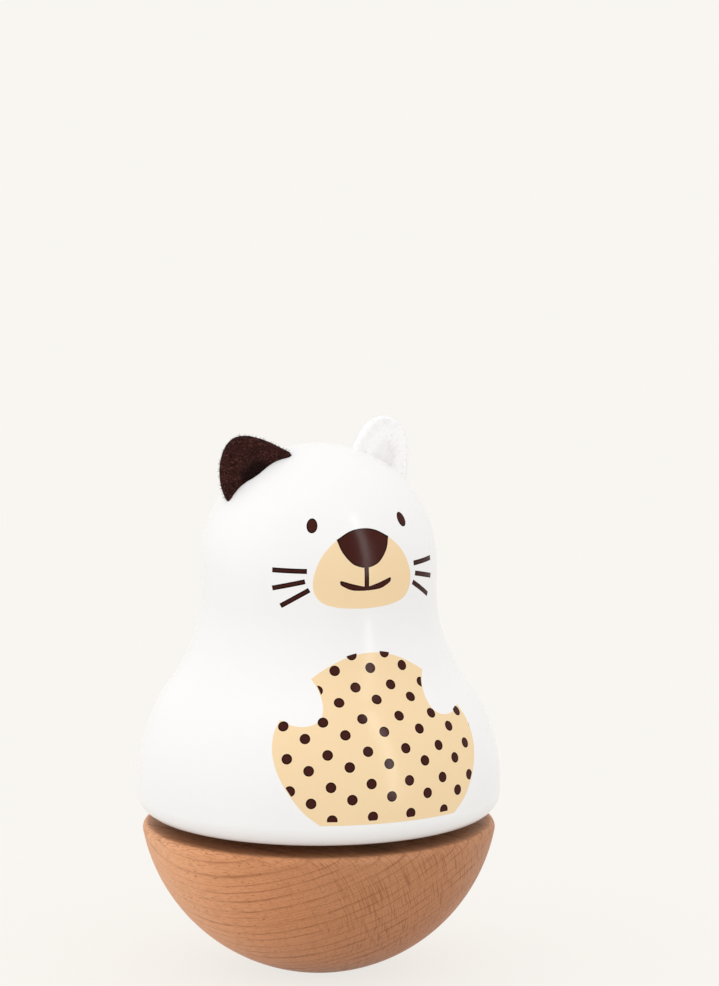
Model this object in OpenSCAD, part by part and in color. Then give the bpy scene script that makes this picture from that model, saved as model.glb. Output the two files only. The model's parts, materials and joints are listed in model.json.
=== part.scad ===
// Wind-up music box: a turned wooden animal figure that twists on a weighted round base.
// Millimetres. Z is up, the face looks along -Y, and the origin is the centre of the standing flat.

/* [Figure] */
// Widest diameter of the belly
belly_d = 90; // [88:0.5:116]
// Diameter of the domed head
head_d = 58.4; // [50:0.2:72]
// Radius of the hollow curve between head and belly
neck_r = 36.5; // [28:0.5:50]
// Radius of the belly's side curve
belly_r = 43.5; // [34:0.5:56]
// Straight height below the dome
neck_len = 7.4; // [4:0.1:14]
// Straight height at the widest place
belly_side = 2.3; // [1:0.1:6]
// Rounding of the figure's lower edge
foot_r = 5.1; // [3:0.1:7]

/* [Ears] */
// Width of an ear where it leaves the head
ear_w = 19.3; // [14:0.1:24]
// Height of an ear above the head
ear_h = 11.5; // [8:0.1:18]
// Thickness of the felt
ear_t = 2; // [1:0.1:3]
// Radius of the ear's forward cup
ear_cup_r = 26; // [14:0.5:40]
// Angle from the crown of the head to the brown ear
brown_spread = 36; // [26:0.5:44]
// Angle from the crown of the head to the white ear
white_spread = 33; // [26:0.5:44]
// Backward lean of an ear
ear_lean = 10; // [0:1:30]
// Outward turn of an ear
ear_yaw = 12.5; // [0:0.5:24]
// Depth of the glued root in its groove
ear_root = 4; // [2:0.5:6]

/* [Base] */
// Radius of the ball that the base is cut from
base_r = 44.5; // [42:0.5:56]
// Height of the base
base_h = 37; // [32:0.5:40]
// Diameter of the standing flat
base_flat_d = 17; // [8:0.5:20]
// Rounding of the base's upper edge
base_edge_r = 1.5; // [1:0.1:4]
// Shadow gap between base and figure
shadow_gap = 2.7; // [1.5:0.1:5]
// Diameter of the steel weight
weight_d = 48; // [36:0.5:50]
// Height of the steel weight
weight_h = 18; // [12:0.5:20]
// Wood left under the weight
weight_floor = 10; // [9:0.5:12]

/* [Drive] */
// Diameter of the winding shaft
shaft_d = 5; // [4:0.1:6]
// Diameter of the shaft's threaded foot
thread_d = 6; // [5:0.1:7.5]
// Thickness of the mounting board
board_t = 4; // [3:0.1:6]
// Width of the shoulder that the board is screwed to
shoulder_w = 4.5; // [4:0.1:6]
// Diameter of the hollow in the head
head_bore_d = 40; // [30:1:46]
// Wood left over the hollow in the head
dome_t = 19; // [15:0.5:26]

/* [Movement] */
// Thickness of the bedplate
plate_t = 2; // [1.5:0.1:3]
// Diameter of the spring barrel
barrel_d = 25; // [20:0.5:30]
// Height of the spring barrel
barrel_h = 7.5; // [6:0.1:10]
// Turns of the mainspring
spring_turns = 8; // [5:1:10]
// Module of the crown wheel and the gears it drives
gear_m = 0.6; // [0.5:0.02:0.72]
// Module of the worm and its wheel
worm_m = 0.5; // [0.42:0.02:0.6]
// Diameter of the tune cylinder
drum_d = 11; // [9:0.2:12]
// Number of notes
notes = 18; // [12:1:19]
// Distance between notes
note_pitch = 1; // [0.8:0.02:1.02]
// Length of the lowest tooth of the comb
bass_len = 13; // [10:0.5:14]
// Length of the highest tooth of the comb
treble_len = 9; // [7:0.5:10]
// Radius of the governor's fly
fly_r = 5; // [4:0.1:6]

/* [Hidden] */
$fn = 72;
// Overrun of a cut past the face it opens
over = 1;
// Radial clearances of a running pair and of a seated pair
run_fit = 0.05;
seat_fit = 0.03;
// Free space between pieces that pass each other
pass_gap = 0.4;

// Figure outline
belly_rad = belly_d / 2;
head_rad = head_d / 2;
flank_angle = acos(1 - (belly_rad - head_rad) / (neck_r + belly_r));
z_body = base_h + shadow_gap;
z_belly = z_body + foot_r + belly_side;
z_neck = z_belly + (neck_r + belly_r) * sin(flank_angle);
z_head = z_neck + neck_len;
z_top = z_head + head_rad;
arc_steps = 14;

// An ear's foot lies under the dome, and its outline above the root is a parabola
ear_seat = 1.2;
ear_steps = 28;

// Base outline
flat_rad = base_flat_d / 2;
z_ball = sqrt(pow(base_r, 2) - pow(flat_rad, 2));
edge_ball = base_r - base_edge_r;
z_edge = base_h - base_edge_r;
r_edge = sqrt(pow(edge_ball, 2) - pow(z_ball - z_edge, 2));
ball_low = -acos(flat_rad / base_r);
ball_high = -asin((z_ball - z_edge) / edge_ball);
pocket_rad = weight_d / 2;
z_plug = weight_floor + weight_h;
insert_wall = 2;
insert_rad = thread_d / 2 + insert_wall;
nut_h = 2.4;
nut_wall = 2.8;
nut_rad = thread_d / 2 + nut_wall;
washer_wall = 6;

// Stack of the movement
board_inset = 1;
z_board = z_body + board_inset;
z_plate = z_board + board_t;
z_barrel = z_plate + plate_t;
barrel_wall = 0.8;
lid_t = 0.6;
z_lid = z_barrel + barrel_h;
shaft_rad = shaft_d / 2;
hub_wall = 1.5;
hub_rad = shaft_rad + hub_wall;
z_crown = z_lid + lid_t + pass_gap;
crown_t = 1.2;
z_crown_top = z_crown + crown_t;
bush_wall = 1.5;
bush_rad = shaft_rad + bush_wall;

// Gears
pressure = 25;
thinning = 0.14;
addendum = 0.9;
dedendum = 1.2;
flank_steps = 4;
crown_teeth = 40;
cylinder_teeth = 25;
pinion_teeth = 10;
wheel_teeth = 25;
crown_rad = gear_m * crown_teeth / 2;
crown_face = 2;
crown_inner = crown_rad - crown_face / 2;
tooth_bite = 0.1;
gear_w = 1.2;
gear_tip = gear_m * cylinder_teeth / 2 + addendum * gear_m;
z_pitch = z_crown_top + dedendum * gear_m;
cylinder_rad = gear_m * cylinder_teeth / 2;
z_axis = z_pitch + cylinder_rad;

// Ratchet, its click and the clip over them
ratchet_teeth = 14;
ratchet_step = 360 / ratchet_teeth;
ratchet_wall = 1.8;
ratchet_depth = 0.9;
ratchet_root = shaft_rad + ratchet_wall;
ratchet_rad = ratchet_root + ratchet_depth;
ratchet_face = 2;
ratchet_t = 1;
clip_t = 0.4;
clip_wall = 1.4;
clip_groove = 0.5;
clip_play = 0.1;
clip_mouth = 1.2;
shaft_end = 0.3;
z_clip = z_crown_top + ratchet_t + clip_play;
z_shaft_top = z_clip + clip_t + shaft_end;
click_inset = 2.7;
click_rad = crown_inner - click_inset;
click_t = 0.9;
click_w = 1.6;
click_boss = 1.2;
click_heel = 0.4;
rivet_rad = click_w / 4;
rivet_head = 0.3;
// The click's nose rests in the tooth space that follows the first tooth
nose_gap = 0.15;
nose_rad = ratchet_root + nose_gap;
nose_angle = ratchet_face - ratchet_step + nose_gap / nose_rad * 180 / PI;
click_nose = nose_rad * [cos(nose_angle), sin(nose_angle)];
click_edge = [click_nose + [click_w / 2, -click_heel], [click_rad + click_w / 2, -click_w / 2]];
// The click's spring bears on the middle of the click's outer edge
spring_bear = (click_edge[0] + click_edge[1]) / 2;
spring_rad = norm(spring_bear);
spring_blade = 0.25;
spring_sweep = 115;
spring_end = atan2(spring_bear[1], spring_bear[0]) - (nose_gap + spring_blade) / spring_rad * 180 / PI;
spring_foot = [2, 1.4];

// Tune cylinder and its bearings
drum_rad = drum_d / 2;
drum_wall = 0.8;
drum_margin = 0.5;
drum_len = notes * note_pitch + 2 * drum_margin;
pin_h = 0.6;
pin_r = 0.22;
pins_per_note = 4;
pin_slots = 29;
axle_rad = 1;
shoulder_rad = 1.8;
post_t = 1.4;
post_w = 8;
post_gap = 1.3;
post_x = max(crown_rad + crown_face / 2, barrel_d / 2) + post_gap;
post_cap = 3.4;
post_top = z_axis + post_cap;
post_bevel = 2;
bevel_rise = 1;
// The right post carries a lug for the governor's arbor
lug_reach = 2.6;
lug_low = 2.4;
lug_high = 2;
lug_slope = 6;
foot_len = 4.5;
axle_end = 0.3;
gear_x = crown_rad - gear_w / 2;

// Comb
comb_t = 0.9;
comb_gap = 0.2;
comb_slot = 0.28;
comb_tip = -(drum_rad + pin_h + comb_gap);
comb_heel = 7;
comb_margin = 1;
comb_thread = 6;
comb_root = comb_tip - bass_len;
comb_back = comb_root - comb_heel;
comb_w = notes * note_pitch;
z_comb = z_axis - comb_t / 2;
comb_screw_x = comb_w / 3;
comb_screw_y = comb_root - comb_heel / 2;

// Governor
governor_reach = gear_m * (cylinder_teeth + pinion_teeth) / 2 + seat_fit;
governor_angle = 17.7;
governor_y = governor_reach * cos(governor_angle);
governor_z = z_axis - governor_reach * sin(governor_angle);
mesh_angle = 90 - governor_angle;
pinion_turn = mesh_angle + 180 - (0.5 - mesh_angle * cylinder_teeth / 360) * 360 / pinion_teeth;
arbor_rad = 0.9;
wheel_rad = worm_m * wheel_teeth / 2;
worm_rad = 2;
worm_pitch = PI * worm_m;
worm_tooth = 0.55;
worm_turns = 5;
worm_points = 24;
worm_slices = 14;
worm_h = worm_turns * worm_pitch;
wheel_gap = 1.7;
wheel_x = post_x + post_t + wheel_gap;
worm_x = wheel_x + gear_w / 2;
worm_y = governor_y + wheel_rad + worm_rad;
pivot_rad = 0.6;
pivot_play = 0.1;
worm_core = 1;
frame_x = worm_x + worm_rad + addendum * worm_m + pass_gap;
frame_t = 1.2;
frame_lead = 4.5;
frame_rise = 3;
frame_y = governor_y - frame_lead;
frame_front = worm_y - fly_r - pass_gap;
frame_foot = [frame_x + frame_t + foot_len, frame_front];
fly_h = 5.4;
fly_t = 0.6;
fly_hub = 1.7;
fly_lift = 1.9;
z_fly = z_barrel + fly_lift;
arm_gap = 0.9;
z_arm = governor_z + worm_h / 2 + arm_gap;
arm_half = 2.6;

// Bedplate, board and the cavity that takes them
plate_edge = 0.6;
plate_half = frame_foot[0] + plate_edge;
plate_rad = max(norm(frame_foot), norm([comb_w / 2 + comb_margin, comb_back])) + plate_edge;
cavity_clear = 2.4;
cavity_rad = max(plate_rad, norm([worm_x, worm_y]) + fly_r) + cavity_clear;
board_rad = cavity_rad + shoulder_w;
z_cavity = max(post_top, z_arm + frame_t) + cavity_clear;
// The narrower bore above it clears the top of the cylinder's gear
well_rad = norm([gear_x + gear_w, gear_tip]) + cavity_clear;
z_well = z_axis + gear_tip + cavity_clear;
head_bore_rad = head_bore_d / 2;
screw_rad = 1.1;
screw_short = 0.2;
board_screw_r = cavity_rad + shoulder_w / 2;
board_screw_turn = 30;
board_thread = 5.5;
plate_thread = 2.5;
// The bedplate's screws stand in from its rim, clear of the comb and the governor
plate_screw_in = 2;
plate_screw_r = plate_rad - 2 * screw_rad - plate_screw_in;
plate_screw_angles = [81, 145, 215, 325];

// Points along an arc about a centre
function arc(centre, r, from, to, steps = arc_steps) = [
    for (i = [0:steps])
        let (a = from + (to - from) * i / steps)
        [centre[0] + r * cos(a), centre[1] + r * sin(a)]
];

// Involute of a pressure angle, in degrees
function involute(a) = tan(a) * 180 / PI - a;

// Half the angle that a gear tooth takes up at a radius
function tooth_half(r, m, n) =
    let (pitch_r = m * n / 2, base = pitch_r * cos(pressure), here = r > base ? acos(base / r) : 0)
    (PI * m / 2 - thinning) / 2 / pitch_r * 180 / PI + involute(pressure) - involute(here);

// Place round the drum of a note's pin, spread as in a tune
function pin_slot(n, k) = (7 * n + 11 * k * (k + n % 3 + 1)) % pin_slots;

// Radius of the worm's cross-section at an angle from its thread
function worm_section(a) =
    let (off = abs(a) / 360 * worm_pitch, r = worm_rad + (worm_tooth / 2 - off) / tan(pressure))
    min(worm_rad + addendum * worm_m, max(worm_rad - dedendum * worm_m, r));

module spur_outline(m, n) {
    root = m * n / 2 - dedendum * m;
    tip = m * n / 2 + addendum * m;
    radii = [for (k = [0:flank_steps]) root + (tip - root) * k / flank_steps];
    polygon([
        for (i = [0:n - 1])
            each concat(
                [for (r = radii) let (a = i * 360 / n - tooth_half(r, m, n)) r * [cos(a), sin(a)]],
                [for (k = [flank_steps:-1:0])
                    let (r = radii[k], a = i * 360 / n + tooth_half(r, m, n)) r * [cos(a), sin(a)]]
            )
    ]);
}

// Sets a piece on an axis parallel to X, with its own X axis turned down
module along_x(x, y, z) {
    translate([x, y, z]) rotate([0, 90, 0]) children();
}

module tube(r_out, r_in, h) {
    difference() {
        cylinder(r = r_out, h = h);
        translate([0, 0, -over]) cylinder(r = r_in, h = h + 2 * over);
    }
}

// Cheese-head screw standing in a hole, with the underside of its head at Z = 0
module screw(len, r = screw_rad) {
    head_h = r * 1.2;
    difference() {
        union() {
            cylinder(r = 2 * r, h = head_h);
            translate([0, 0, -len]) cylinder(r = r, h = len + head_h / 2);
        }
        translate([-2 * r - over, -r / 4, head_h * 0.55]) cube([4 * r + 2 * over, r / 2, head_h]);
    }
}

module hole(len, r = screw_rad) {
    translate([0, 0, -len]) cylinder(r = r + run_fit, h = len + over);
}

// Base

module base_bowl() {
    outline = concat(
        [[0, 0]],
        arc([0, z_ball], base_r, ball_low, ball_high, 30),
        arc([r_edge, z_edge], base_edge_r, ball_high, 90, 8),
        [[0, base_h]]
    );
    color("burlywood")
    difference() {
        rotate_extrude() polygon(outline);
        translate([0, 0, weight_floor]) cylinder(r = pocket_rad, h = base_h);
    }
}

module base_weight() {
    color("dimgray") translate([0, 0, weight_floor]) cylinder(r = pocket_rad - seat_fit, h = weight_h);
}

module base_plug() {
    color("burlywood")
    translate([0, 0, z_plug]) tube(pocket_rad - seat_fit, insert_rad + seat_fit, base_h - z_plug);
}

module threaded_insert() {
    color("goldenrod")
    translate([0, 0, z_plug]) tube(insert_rad, thread_d / 2 + seat_fit, base_h - z_plug);
}

module winding_shaft() {
    color("silver")
    difference() {
        union() {
            translate([0, 0, z_plug]) cylinder(r = thread_d / 2, h = base_h + nut_h - z_plug);
            translate([0, 0, base_h]) cylinder(r = shaft_rad, h = z_shaft_top - base_h);
        }
        translate([0, 0, z_clip - seat_fit])
            tube(shaft_rad + over, shaft_rad - clip_groove, clip_t + 2 * seat_fit);
    }
}

module lock_nut() {
    color("silver")
    translate([0, 0, base_h])
    difference() {
        cylinder(r = nut_rad, h = nut_h, $fn = 6);
        translate([0, 0, -over]) cylinder(r = thread_d / 2 + seat_fit, h = nut_h + 2 * over);
    }
}

module thrust_washer() {
    color("whitesmoke")
    translate([0, 0, base_h])
        tube(nut_rad + pass_gap + washer_wall, nut_rad + pass_gap, z_board - run_fit - base_h);
}

// Winding and crown wheel, which stay with the base

module spring_arbor() {
    color("silver")
    translate([0, 0, z_barrel + barrel_wall + pass_gap])
        tube(hub_rad, shaft_rad + seat_fit, barrel_h - barrel_wall - 2 * pass_gap);
}

module crown_wheel() {
    tip = addendum * gear_m;
    root = dedendum * gear_m;
    half = (PI * gear_m / 2 - thinning) / 2;
    lean = tan(pressure);
    color("goldenrod")
    union() {
        translate([0, 0, z_crown]) tube(crown_rad + crown_face / 2, shaft_rad + seat_fit, crown_t);
        for (i = [0:crown_teeth - 1])
            rotate([0, 0, (i + 0.5) * 360 / crown_teeth])
            translate([crown_inner, 0, z_pitch])
            rotate([90, 0, 90])
            linear_extrude(crown_face - tooth_bite)
            polygon([
                [-half - root * lean, -root - tooth_bite], [half + root * lean, -root - tooth_bite],
                [half - tip * lean, tip], [tip * lean - half, tip]
            ]);
    }
}

module ratchet_wheel() {
    color("silver")
    translate([0, 0, z_crown_top])
    linear_extrude(ratchet_t)
    difference() {
        polygon([
            for (i = [0:ratchet_teeth - 1])
                let (a = i * ratchet_step, b = a + ratchet_face)
                each [ratchet_rad * [cos(a), sin(a)], ratchet_root * [cos(b), sin(b)]]
        ]);
        circle(r = shaft_rad + seat_fit);
    }
}

module click() {
    color("silver")
    translate([0, 0, z_crown_top])
    difference() {
        union() {
            translate([click_rad, 0, 0]) cylinder(r = click_boss, h = click_t);
            linear_extrude(click_t)
                polygon([[click_rad - click_w / 2, 0], click_nose, click_edge[0], click_edge[1]]);
        }
        translate([click_rad, 0, -over]) cylinder(r = rivet_rad + seat_fit, h = click_t + 2 * over);
    }
}

module click_rivet() {
    color("goldenrod")
    translate([click_rad, 0, z_crown_top])
    union() {
        cylinder(r = rivet_rad, h = click_t + rivet_head);
        translate([0, 0, click_t]) cylinder(r = 2 * rivet_rad, h = rivet_head);
    }
}

module click_spring() {
    color("lightgray")
    translate([0, 0, z_crown_top])
    rotate([0, 0, spring_end - spring_sweep])
    union() {
        rotate_extrude(angle = spring_sweep)
            translate([spring_rad - spring_blade / 2, 0]) square([spring_blade, click_t]);
        translate([spring_rad - spring_foot[0] / 2, -spring_foot[1] / 2, 0])
            cube([spring_foot[0], spring_foot[1], click_t]);
    }
}

module retaining_clip() {
    mouth = shaft_d - clip_mouth;
    reach = shaft_rad + clip_wall + over;
    color("dimgray")
    translate([0, 0, z_clip])
    difference() {
        tube(shaft_rad + clip_wall, shaft_rad - clip_groove + seat_fit, clip_t);
        translate([-mouth / 2, -reach, -over]) cube([mouth, reach, clip_t + 2 * over]);
    }
}

// Figure

module ear_outline(grow = 0) {
    half = ear_w / 2 + grow;
    polygon(concat(
        [[half, -ear_root - grow], [-half, -ear_root - grow]],
        [for (i = [0:ear_steps]) let (t = 2 * i / ear_steps - 1) [half * t, (ear_h + grow) * (1 - t * t)]]
    ));
}

// Puts an ear's foot on the head: the white ear is on the figure's left, the brown on its right
module on_head(side) {
    spread = side > 0 ? white_spread : brown_spread;
    translate([0, 0, z_head])
    rotate([0, side * spread, 0])
    translate([0, 0, head_rad - ear_seat])
    rotate([0, 0, side * ear_yaw])
    rotate([-ear_lean, 0, 0])
    mirror([side > 0 ? 0 : 1, 0, 0])
    children();
}

module ear_blank(grow = 0) {
    intersection() {
        translate([0, -ear_cup_r, -ear_root - over])
            tube(ear_cup_r + ear_t / 2 + grow, ear_cup_r - ear_t / 2 - grow, ear_h + ear_root + 2 * over);
        rotate([90, 0, 0]) translate([0, 0, -ear_t])
            linear_extrude(ear_cup_r + ear_t) ear_outline(grow);
    }
}

module body_shell() {
    outline = concat(
        [[0, z_body]],
        arc([belly_rad - foot_r, z_body + foot_r], foot_r, -90, 0, 8),
        arc([belly_rad - belly_r, z_belly], belly_r, 0, flank_angle),
        arc([head_rad + neck_r, z_neck], neck_r, 180 + flank_angle, 180),
        arc([0, z_head], head_rad, 0, 90, 24)
    );
    color("white")
    difference() {
        rotate_extrude() polygon(outline);
        translate([0, 0, z_body - over]) cylinder(r = board_rad, h = z_plate - z_body + over);
        translate([0, 0, z_plate - over]) cylinder(r = cavity_rad, h = z_cavity - z_plate + over);
        translate([0, 0, z_cavity - over]) cylinder(r = well_rad, h = z_well - z_cavity + over);
        translate([0, 0, z_cavity - over])
            cylinder(r = head_bore_rad, h = z_top - dome_t - z_cavity + over);
        for (side = [-1, 1]) on_head(side) ear_blank(run_fit);
        at_board_screws() rotate([180, 0, 0]) hole(board_t + board_thread + pass_gap);
    }
}

module ear_brown() {
    color("saddlebrown") on_head(-1) ear_blank();
}

module ear_white() {
    color("whitesmoke") on_head(1) ear_blank();
}

// Mounting board and bedplate

module at_board_screws() {
    for (i = [0:2])
        rotate([0, 0, board_screw_turn + i * 120]) translate([board_screw_r, 0, z_board]) children();
}

module at_plate_screws() {
    for (a = plate_screw_angles)
        translate([plate_screw_r * cos(a), plate_screw_r * sin(a), z_barrel]) children();
}

module mounting_board() {
    color("tan")
    difference() {
        translate([0, 0, z_board]) tube(board_rad - run_fit, bush_rad + seat_fit, board_t);
        at_board_screws() rotate([180, 0, 0]) hole(board_t + over);
        at_plate_screws() hole(plate_t + plate_thread + pass_gap);
    }
}

module board_screws() {
    color("silver") at_board_screws() rotate([180, 0, 0]) screw(board_t + board_thread);
}

module bedplate() {
    color("lightgray")
    difference() {
        translate([0, 0, z_plate])
        linear_extrude(plate_t)
        difference() {
            intersection() {
                circle(r = plate_rad);
                square([2 * plate_half, 2 * plate_rad], center = true);
            }
            circle(r = bush_rad + seat_fit);
        }
        at_plate_screws() hole(plate_t + over);
        translate([0, 0, z_barrel]) {
            at_post_feet() hole(plate_t + over);
            at_comb_block() hole(plate_t + over);
            translate([worm_x, worm_y]) hole(plate_t / 2, pivot_rad);
            translate(governor_screw_at()) hole(plate_t + over);
        }
    }
}

module bedplate_screws() {
    color("silver") at_plate_screws() screw(plate_t + plate_thread);
}

module shaft_bush() {
    color("goldenrod")
    translate([0, 0, z_board])
        tube(bush_rad, shaft_rad + run_fit, z_barrel - z_board);
}

// Spring barrel

module spring_barrel() {
    color("silver")
    translate([0, 0, z_barrel])
    difference() {
        cylinder(r = barrel_d / 2, h = barrel_h);
        translate([0, 0, barrel_wall]) cylinder(r = barrel_d / 2 - barrel_wall, h = barrel_h);
        translate([0, 0, -over]) cylinder(r = hub_rad, h = barrel_h);
    }
}

module barrel_lid() {
    color("silver") translate([0, 0, z_lid]) tube(barrel_d / 2, hub_rad, lid_t);
}

module mainspring() {
    blade = 0.3;
    hub_gap = 0.3;
    turn_steps = 24;
    r_out = barrel_d / 2 - barrel_wall - seat_fit;
    r_in = hub_rad + hub_gap + blade;
    steps = turn_steps * spring_turns;
    function spiral(i, off) =
        let (r = r_out - (r_out - r_in) * i / steps - off, a = 360 * i / turn_steps) r * [cos(a), sin(a)];
    color("slategray")
    translate([0, 0, z_barrel + barrel_wall + pass_gap])
    linear_extrude(barrel_h - barrel_wall - 2 * pass_gap)
    polygon(concat([for (i = [0:steps]) spiral(i, 0)], [for (i = [steps:-1:0]) spiral(i, blade)]));
}

// Bearings of the tune cylinder

module at_post_feet() {
    for (side = [-1, 1]) translate([side * (post_x + post_t + foot_len / 2), 0]) children();
}

module post(outline, side, bores) {
    mirror([side > 0 ? 0 : 1, 0, 0])
    difference() {
        union() {
            translate([post_x, 0, 0]) rotate([90, 0, 90]) linear_extrude(post_t) polygon(outline);
            translate([post_x, -post_w / 2, z_barrel]) cube([post_t + foot_len, post_w, post_t]);
        }
        for (b = bores)
            along_x(post_x - over, b[0], b[1]) cylinder(r = b[2] + run_fit, h = post_t + 2 * over);
        translate([post_x + post_t + foot_len / 2, 0, z_barrel + post_t]) hole(post_t + over);
    }
}

module bearing_post_left() {
    half = post_w / 2;
    outline = [
        [-half, z_barrel], [half, z_barrel], [half, z_axis + bevel_rise], [half - post_bevel, post_top],
        [post_bevel - half, post_top], [-half, z_axis + bevel_rise]
    ];
    color("gainsboro") post(outline, -1, [[0, z_axis, axle_rad]]);
}

module bearing_post_right() {
    half = post_w / 2;
    lug = governor_y + lug_reach;
    outline = [
        [-half, z_barrel], [half, z_barrel], [half, governor_z - lug_slope], [lug, governor_z - lug_low],
        [lug, governor_z + lug_high], [half, post_top], [post_bevel - half, post_top],
        [-half, z_axis + bevel_rise]
    ];
    color("gainsboro")
    post(outline, 1, [[0, z_axis, axle_rad], [governor_y, governor_z, arbor_rad]]);
}

module post_screws() {
    color("silver")
    translate([0, 0, z_barrel + post_t]) at_post_feet() screw(post_t + plate_t - screw_short);
}

// Comb

module at_comb_block() {
    for (side = [-1, 1]) translate([side * comb_screw_x, comb_screw_y]) children();
}

module comb_block() {
    color("lightgray")
    difference() {
        translate([-comb_w / 2 - comb_margin, comb_back, z_barrel])
            cube([comb_w + 2 * comb_margin, comb_heel, z_comb - z_barrel]);
        translate([0, 0, z_comb]) at_comb_block() hole(comb_thread + pass_gap);
    }
}

module comb() {
    color("silver")
    difference() {
        translate([-comb_w / 2, comb_back, z_comb]) cube([comb_w, comb_tip - comb_back, comb_t]);
        for (i = [1:notes - 1]) {
            len = bass_len + (treble_len - bass_len) * i / notes;
            translate([-comb_w / 2 + i * note_pitch - comb_slot / 2, comb_tip - len, z_comb - over])
                cube([comb_slot, len + over, comb_t + 2 * over]);
        }
        translate([0, 0, z_comb + comb_t]) at_comb_block() hole(comb_t + over);
    }
}

module comb_screws() {
    color("silver") translate([0, 0, z_comb + comb_t]) at_comb_block() screw(comb_t + comb_thread);
}

// Governor frame

function governor_screw_at() = [frame_x + frame_t + foot_len / 2, (frame_y + frame_front) / 2, 0];

module governor_frame() {
    waist = z_fly + fly_h + pass_gap;
    back = worm_y + arm_half;
    color("gainsboro")
    difference() {
        union() {
            translate([frame_x, 0, 0]) rotate([90, 0, 90]) linear_extrude(frame_t)
                polygon([
                    [frame_y, z_barrel], [frame_front, z_barrel], [frame_front, waist], [back, waist],
                    [back, z_arm + frame_t], [frame_front, z_arm + frame_t],
                    [frame_y, governor_z + frame_rise]
                ]);
            translate([frame_x, frame_y, z_barrel])
                cube([frame_t + foot_len, frame_front - frame_y, frame_t]);
            translate([worm_x - arm_half, worm_y - arm_half, z_arm])
                cube([frame_x + frame_t - worm_x + arm_half, 2 * arm_half, frame_t]);
        }
        along_x(frame_x - over, governor_y, governor_z)
            cylinder(r = pivot_rad + run_fit, h = frame_t + 2 * over);
        translate([worm_x, worm_y, z_arm - over])
            cylinder(r = pivot_rad + run_fit, h = frame_t + 2 * over);
        translate(governor_screw_at() + [0, 0, z_barrel + frame_t]) hole(frame_t + over);
    }
}

module governor_screw() {
    color("silver")
    translate(governor_screw_at() + [0, 0, z_barrel + frame_t]) screw(frame_t + plate_t - screw_short);
}

// Tune cylinder

module cylinder_drum() {
    color("gold")
    along_x(-drum_len / 2, 0, z_axis)
    union() {
        tube(drum_rad, drum_rad - drum_wall, drum_len);
        for (n = [0:notes - 1], k = [0:pins_per_note - 1])
            rotate([0, 0, 360 * pin_slot(n, k) / pin_slots])
            translate([drum_rad - drum_wall / 2, 0, drum_margin + (n + 0.5) * note_pitch])
            rotate([0, 90, 0]) cylinder(r = pin_r, h = drum_wall / 2 + pin_h, $fn = 24);
    }
}

module drum_end_caps() {
    cap_t = 1.2;
    color("goldenrod")
    for (x = [-drum_len / 2, drum_len / 2 - cap_t])
        along_x(x, 0, z_axis) tube(drum_rad - drum_wall - seat_fit, shoulder_rad + seat_fit, cap_t);
}

module cylinder_gear() {
    color("goldenrod")
    along_x(gear_x, 0, z_axis)
    linear_extrude(gear_w)
    difference() {
        spur_outline(gear_m, cylinder_teeth);
        circle(r = shoulder_rad + seat_fit);
    }
}

module cylinder_axle() {
    shoulder = post_x - pass_gap;
    end = post_x + post_t + axle_end;
    color("silver")
    union() {
        along_x(-end, 0, z_axis) cylinder(r = axle_rad, h = 2 * end);
        along_x(-shoulder, 0, z_axis) cylinder(r = shoulder_rad, h = 2 * shoulder);
    }
}

// Governor train

module governor_arbor() {
    end = frame_x + frame_t;
    color("goldenrod")
    union() {
        along_x(gear_x, governor_y, governor_z) cylinder(r = arbor_rad, h = frame_x - pass_gap - gear_x);
        along_x(frame_x - 2 * pass_gap, governor_y, governor_z)
            cylinder(r = pivot_rad, h = end - frame_x + 2 * pass_gap);
        along_x(gear_x, governor_y, governor_z) rotate([0, 0, pinion_turn])
            linear_extrude(gear_w) spur_outline(gear_m, pinion_teeth);
    }
}

module worm_wheel() {
    color("ivory")
    along_x(wheel_x, governor_y, governor_z)
    rotate([0, 0, 90])
    linear_extrude(gear_w)
    difference() {
        spur_outline(worm_m, wheel_teeth);
        circle(r = arbor_rad + seat_fit);
    }
}

module worm_shaft() {
    z_low = governor_z - worm_h / 2;
    start = 90 - 180 * worm_turns;
    section = [
        for (i = [0:worm_points - 1])
            let (a = i * 360 / worm_points - 180) worm_section(a) * [cos(a), sin(a)]
    ];
    color("goldenrod")
    translate([worm_x, worm_y, 0])
    union() {
        translate([0, 0, z_low]) rotate([0, 0, start])
            linear_extrude(worm_h, twist = -360 * worm_turns, slices = worm_slices * worm_turns,
                segments = worm_points)
            polygon(section);
        translate([0, 0, z_barrel + pass_gap]) cylinder(r = worm_core, h = z_low - z_barrel);
        translate([0, 0, z_barrel - plate_t / 2 + pivot_play])
            cylinder(r = pivot_rad, h = z_arm + frame_t - z_barrel + plate_t / 2);
    }
}

module fly_vane() {
    color("ivory")
    translate([worm_x, worm_y, z_fly])
    difference() {
        union() {
            cylinder(r = fly_hub, h = fly_h);
            translate([-fly_r, -fly_t / 2, 0]) cube([2 * fly_r, fly_t, fly_h]);
        }
        translate([0, 0, -over]) cylinder(r = worm_core + seat_fit, h = fly_h + 2 * over);
    }
}

base_bowl();
base_weight();
base_plug();
threaded_insert();
winding_shaft();
lock_nut();
thrust_washer();
spring_arbor();
crown_wheel();
ratchet_wheel();
click();
click_rivet();
click_spring();
retaining_clip();
body_shell();
ear_brown();
ear_white();
mounting_board();
board_screws();
bedplate();
bedplate_screws();
shaft_bush();
spring_barrel();
barrel_lid();
mainspring();
bearing_post_left();
bearing_post_right();
post_screws();
comb_block();
comb();
comb_screws();
governor_frame();
governor_screw();
cylinder_drum();
drum_end_caps();
cylinder_gear();
cylinder_axle();
governor_arbor();
worm_wheel();
worm_shaft();
fly_vane();
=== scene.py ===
"""Looks of a wind-up music box: a lacquered wooden animal that twists on a round beech base.

Sizes are in millimetres in the part's own frame and become metres when a mesh is made. Z is up, the
printed face looks along -Y, and angles on the figure are measured from the middle of the face.
"""

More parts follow.
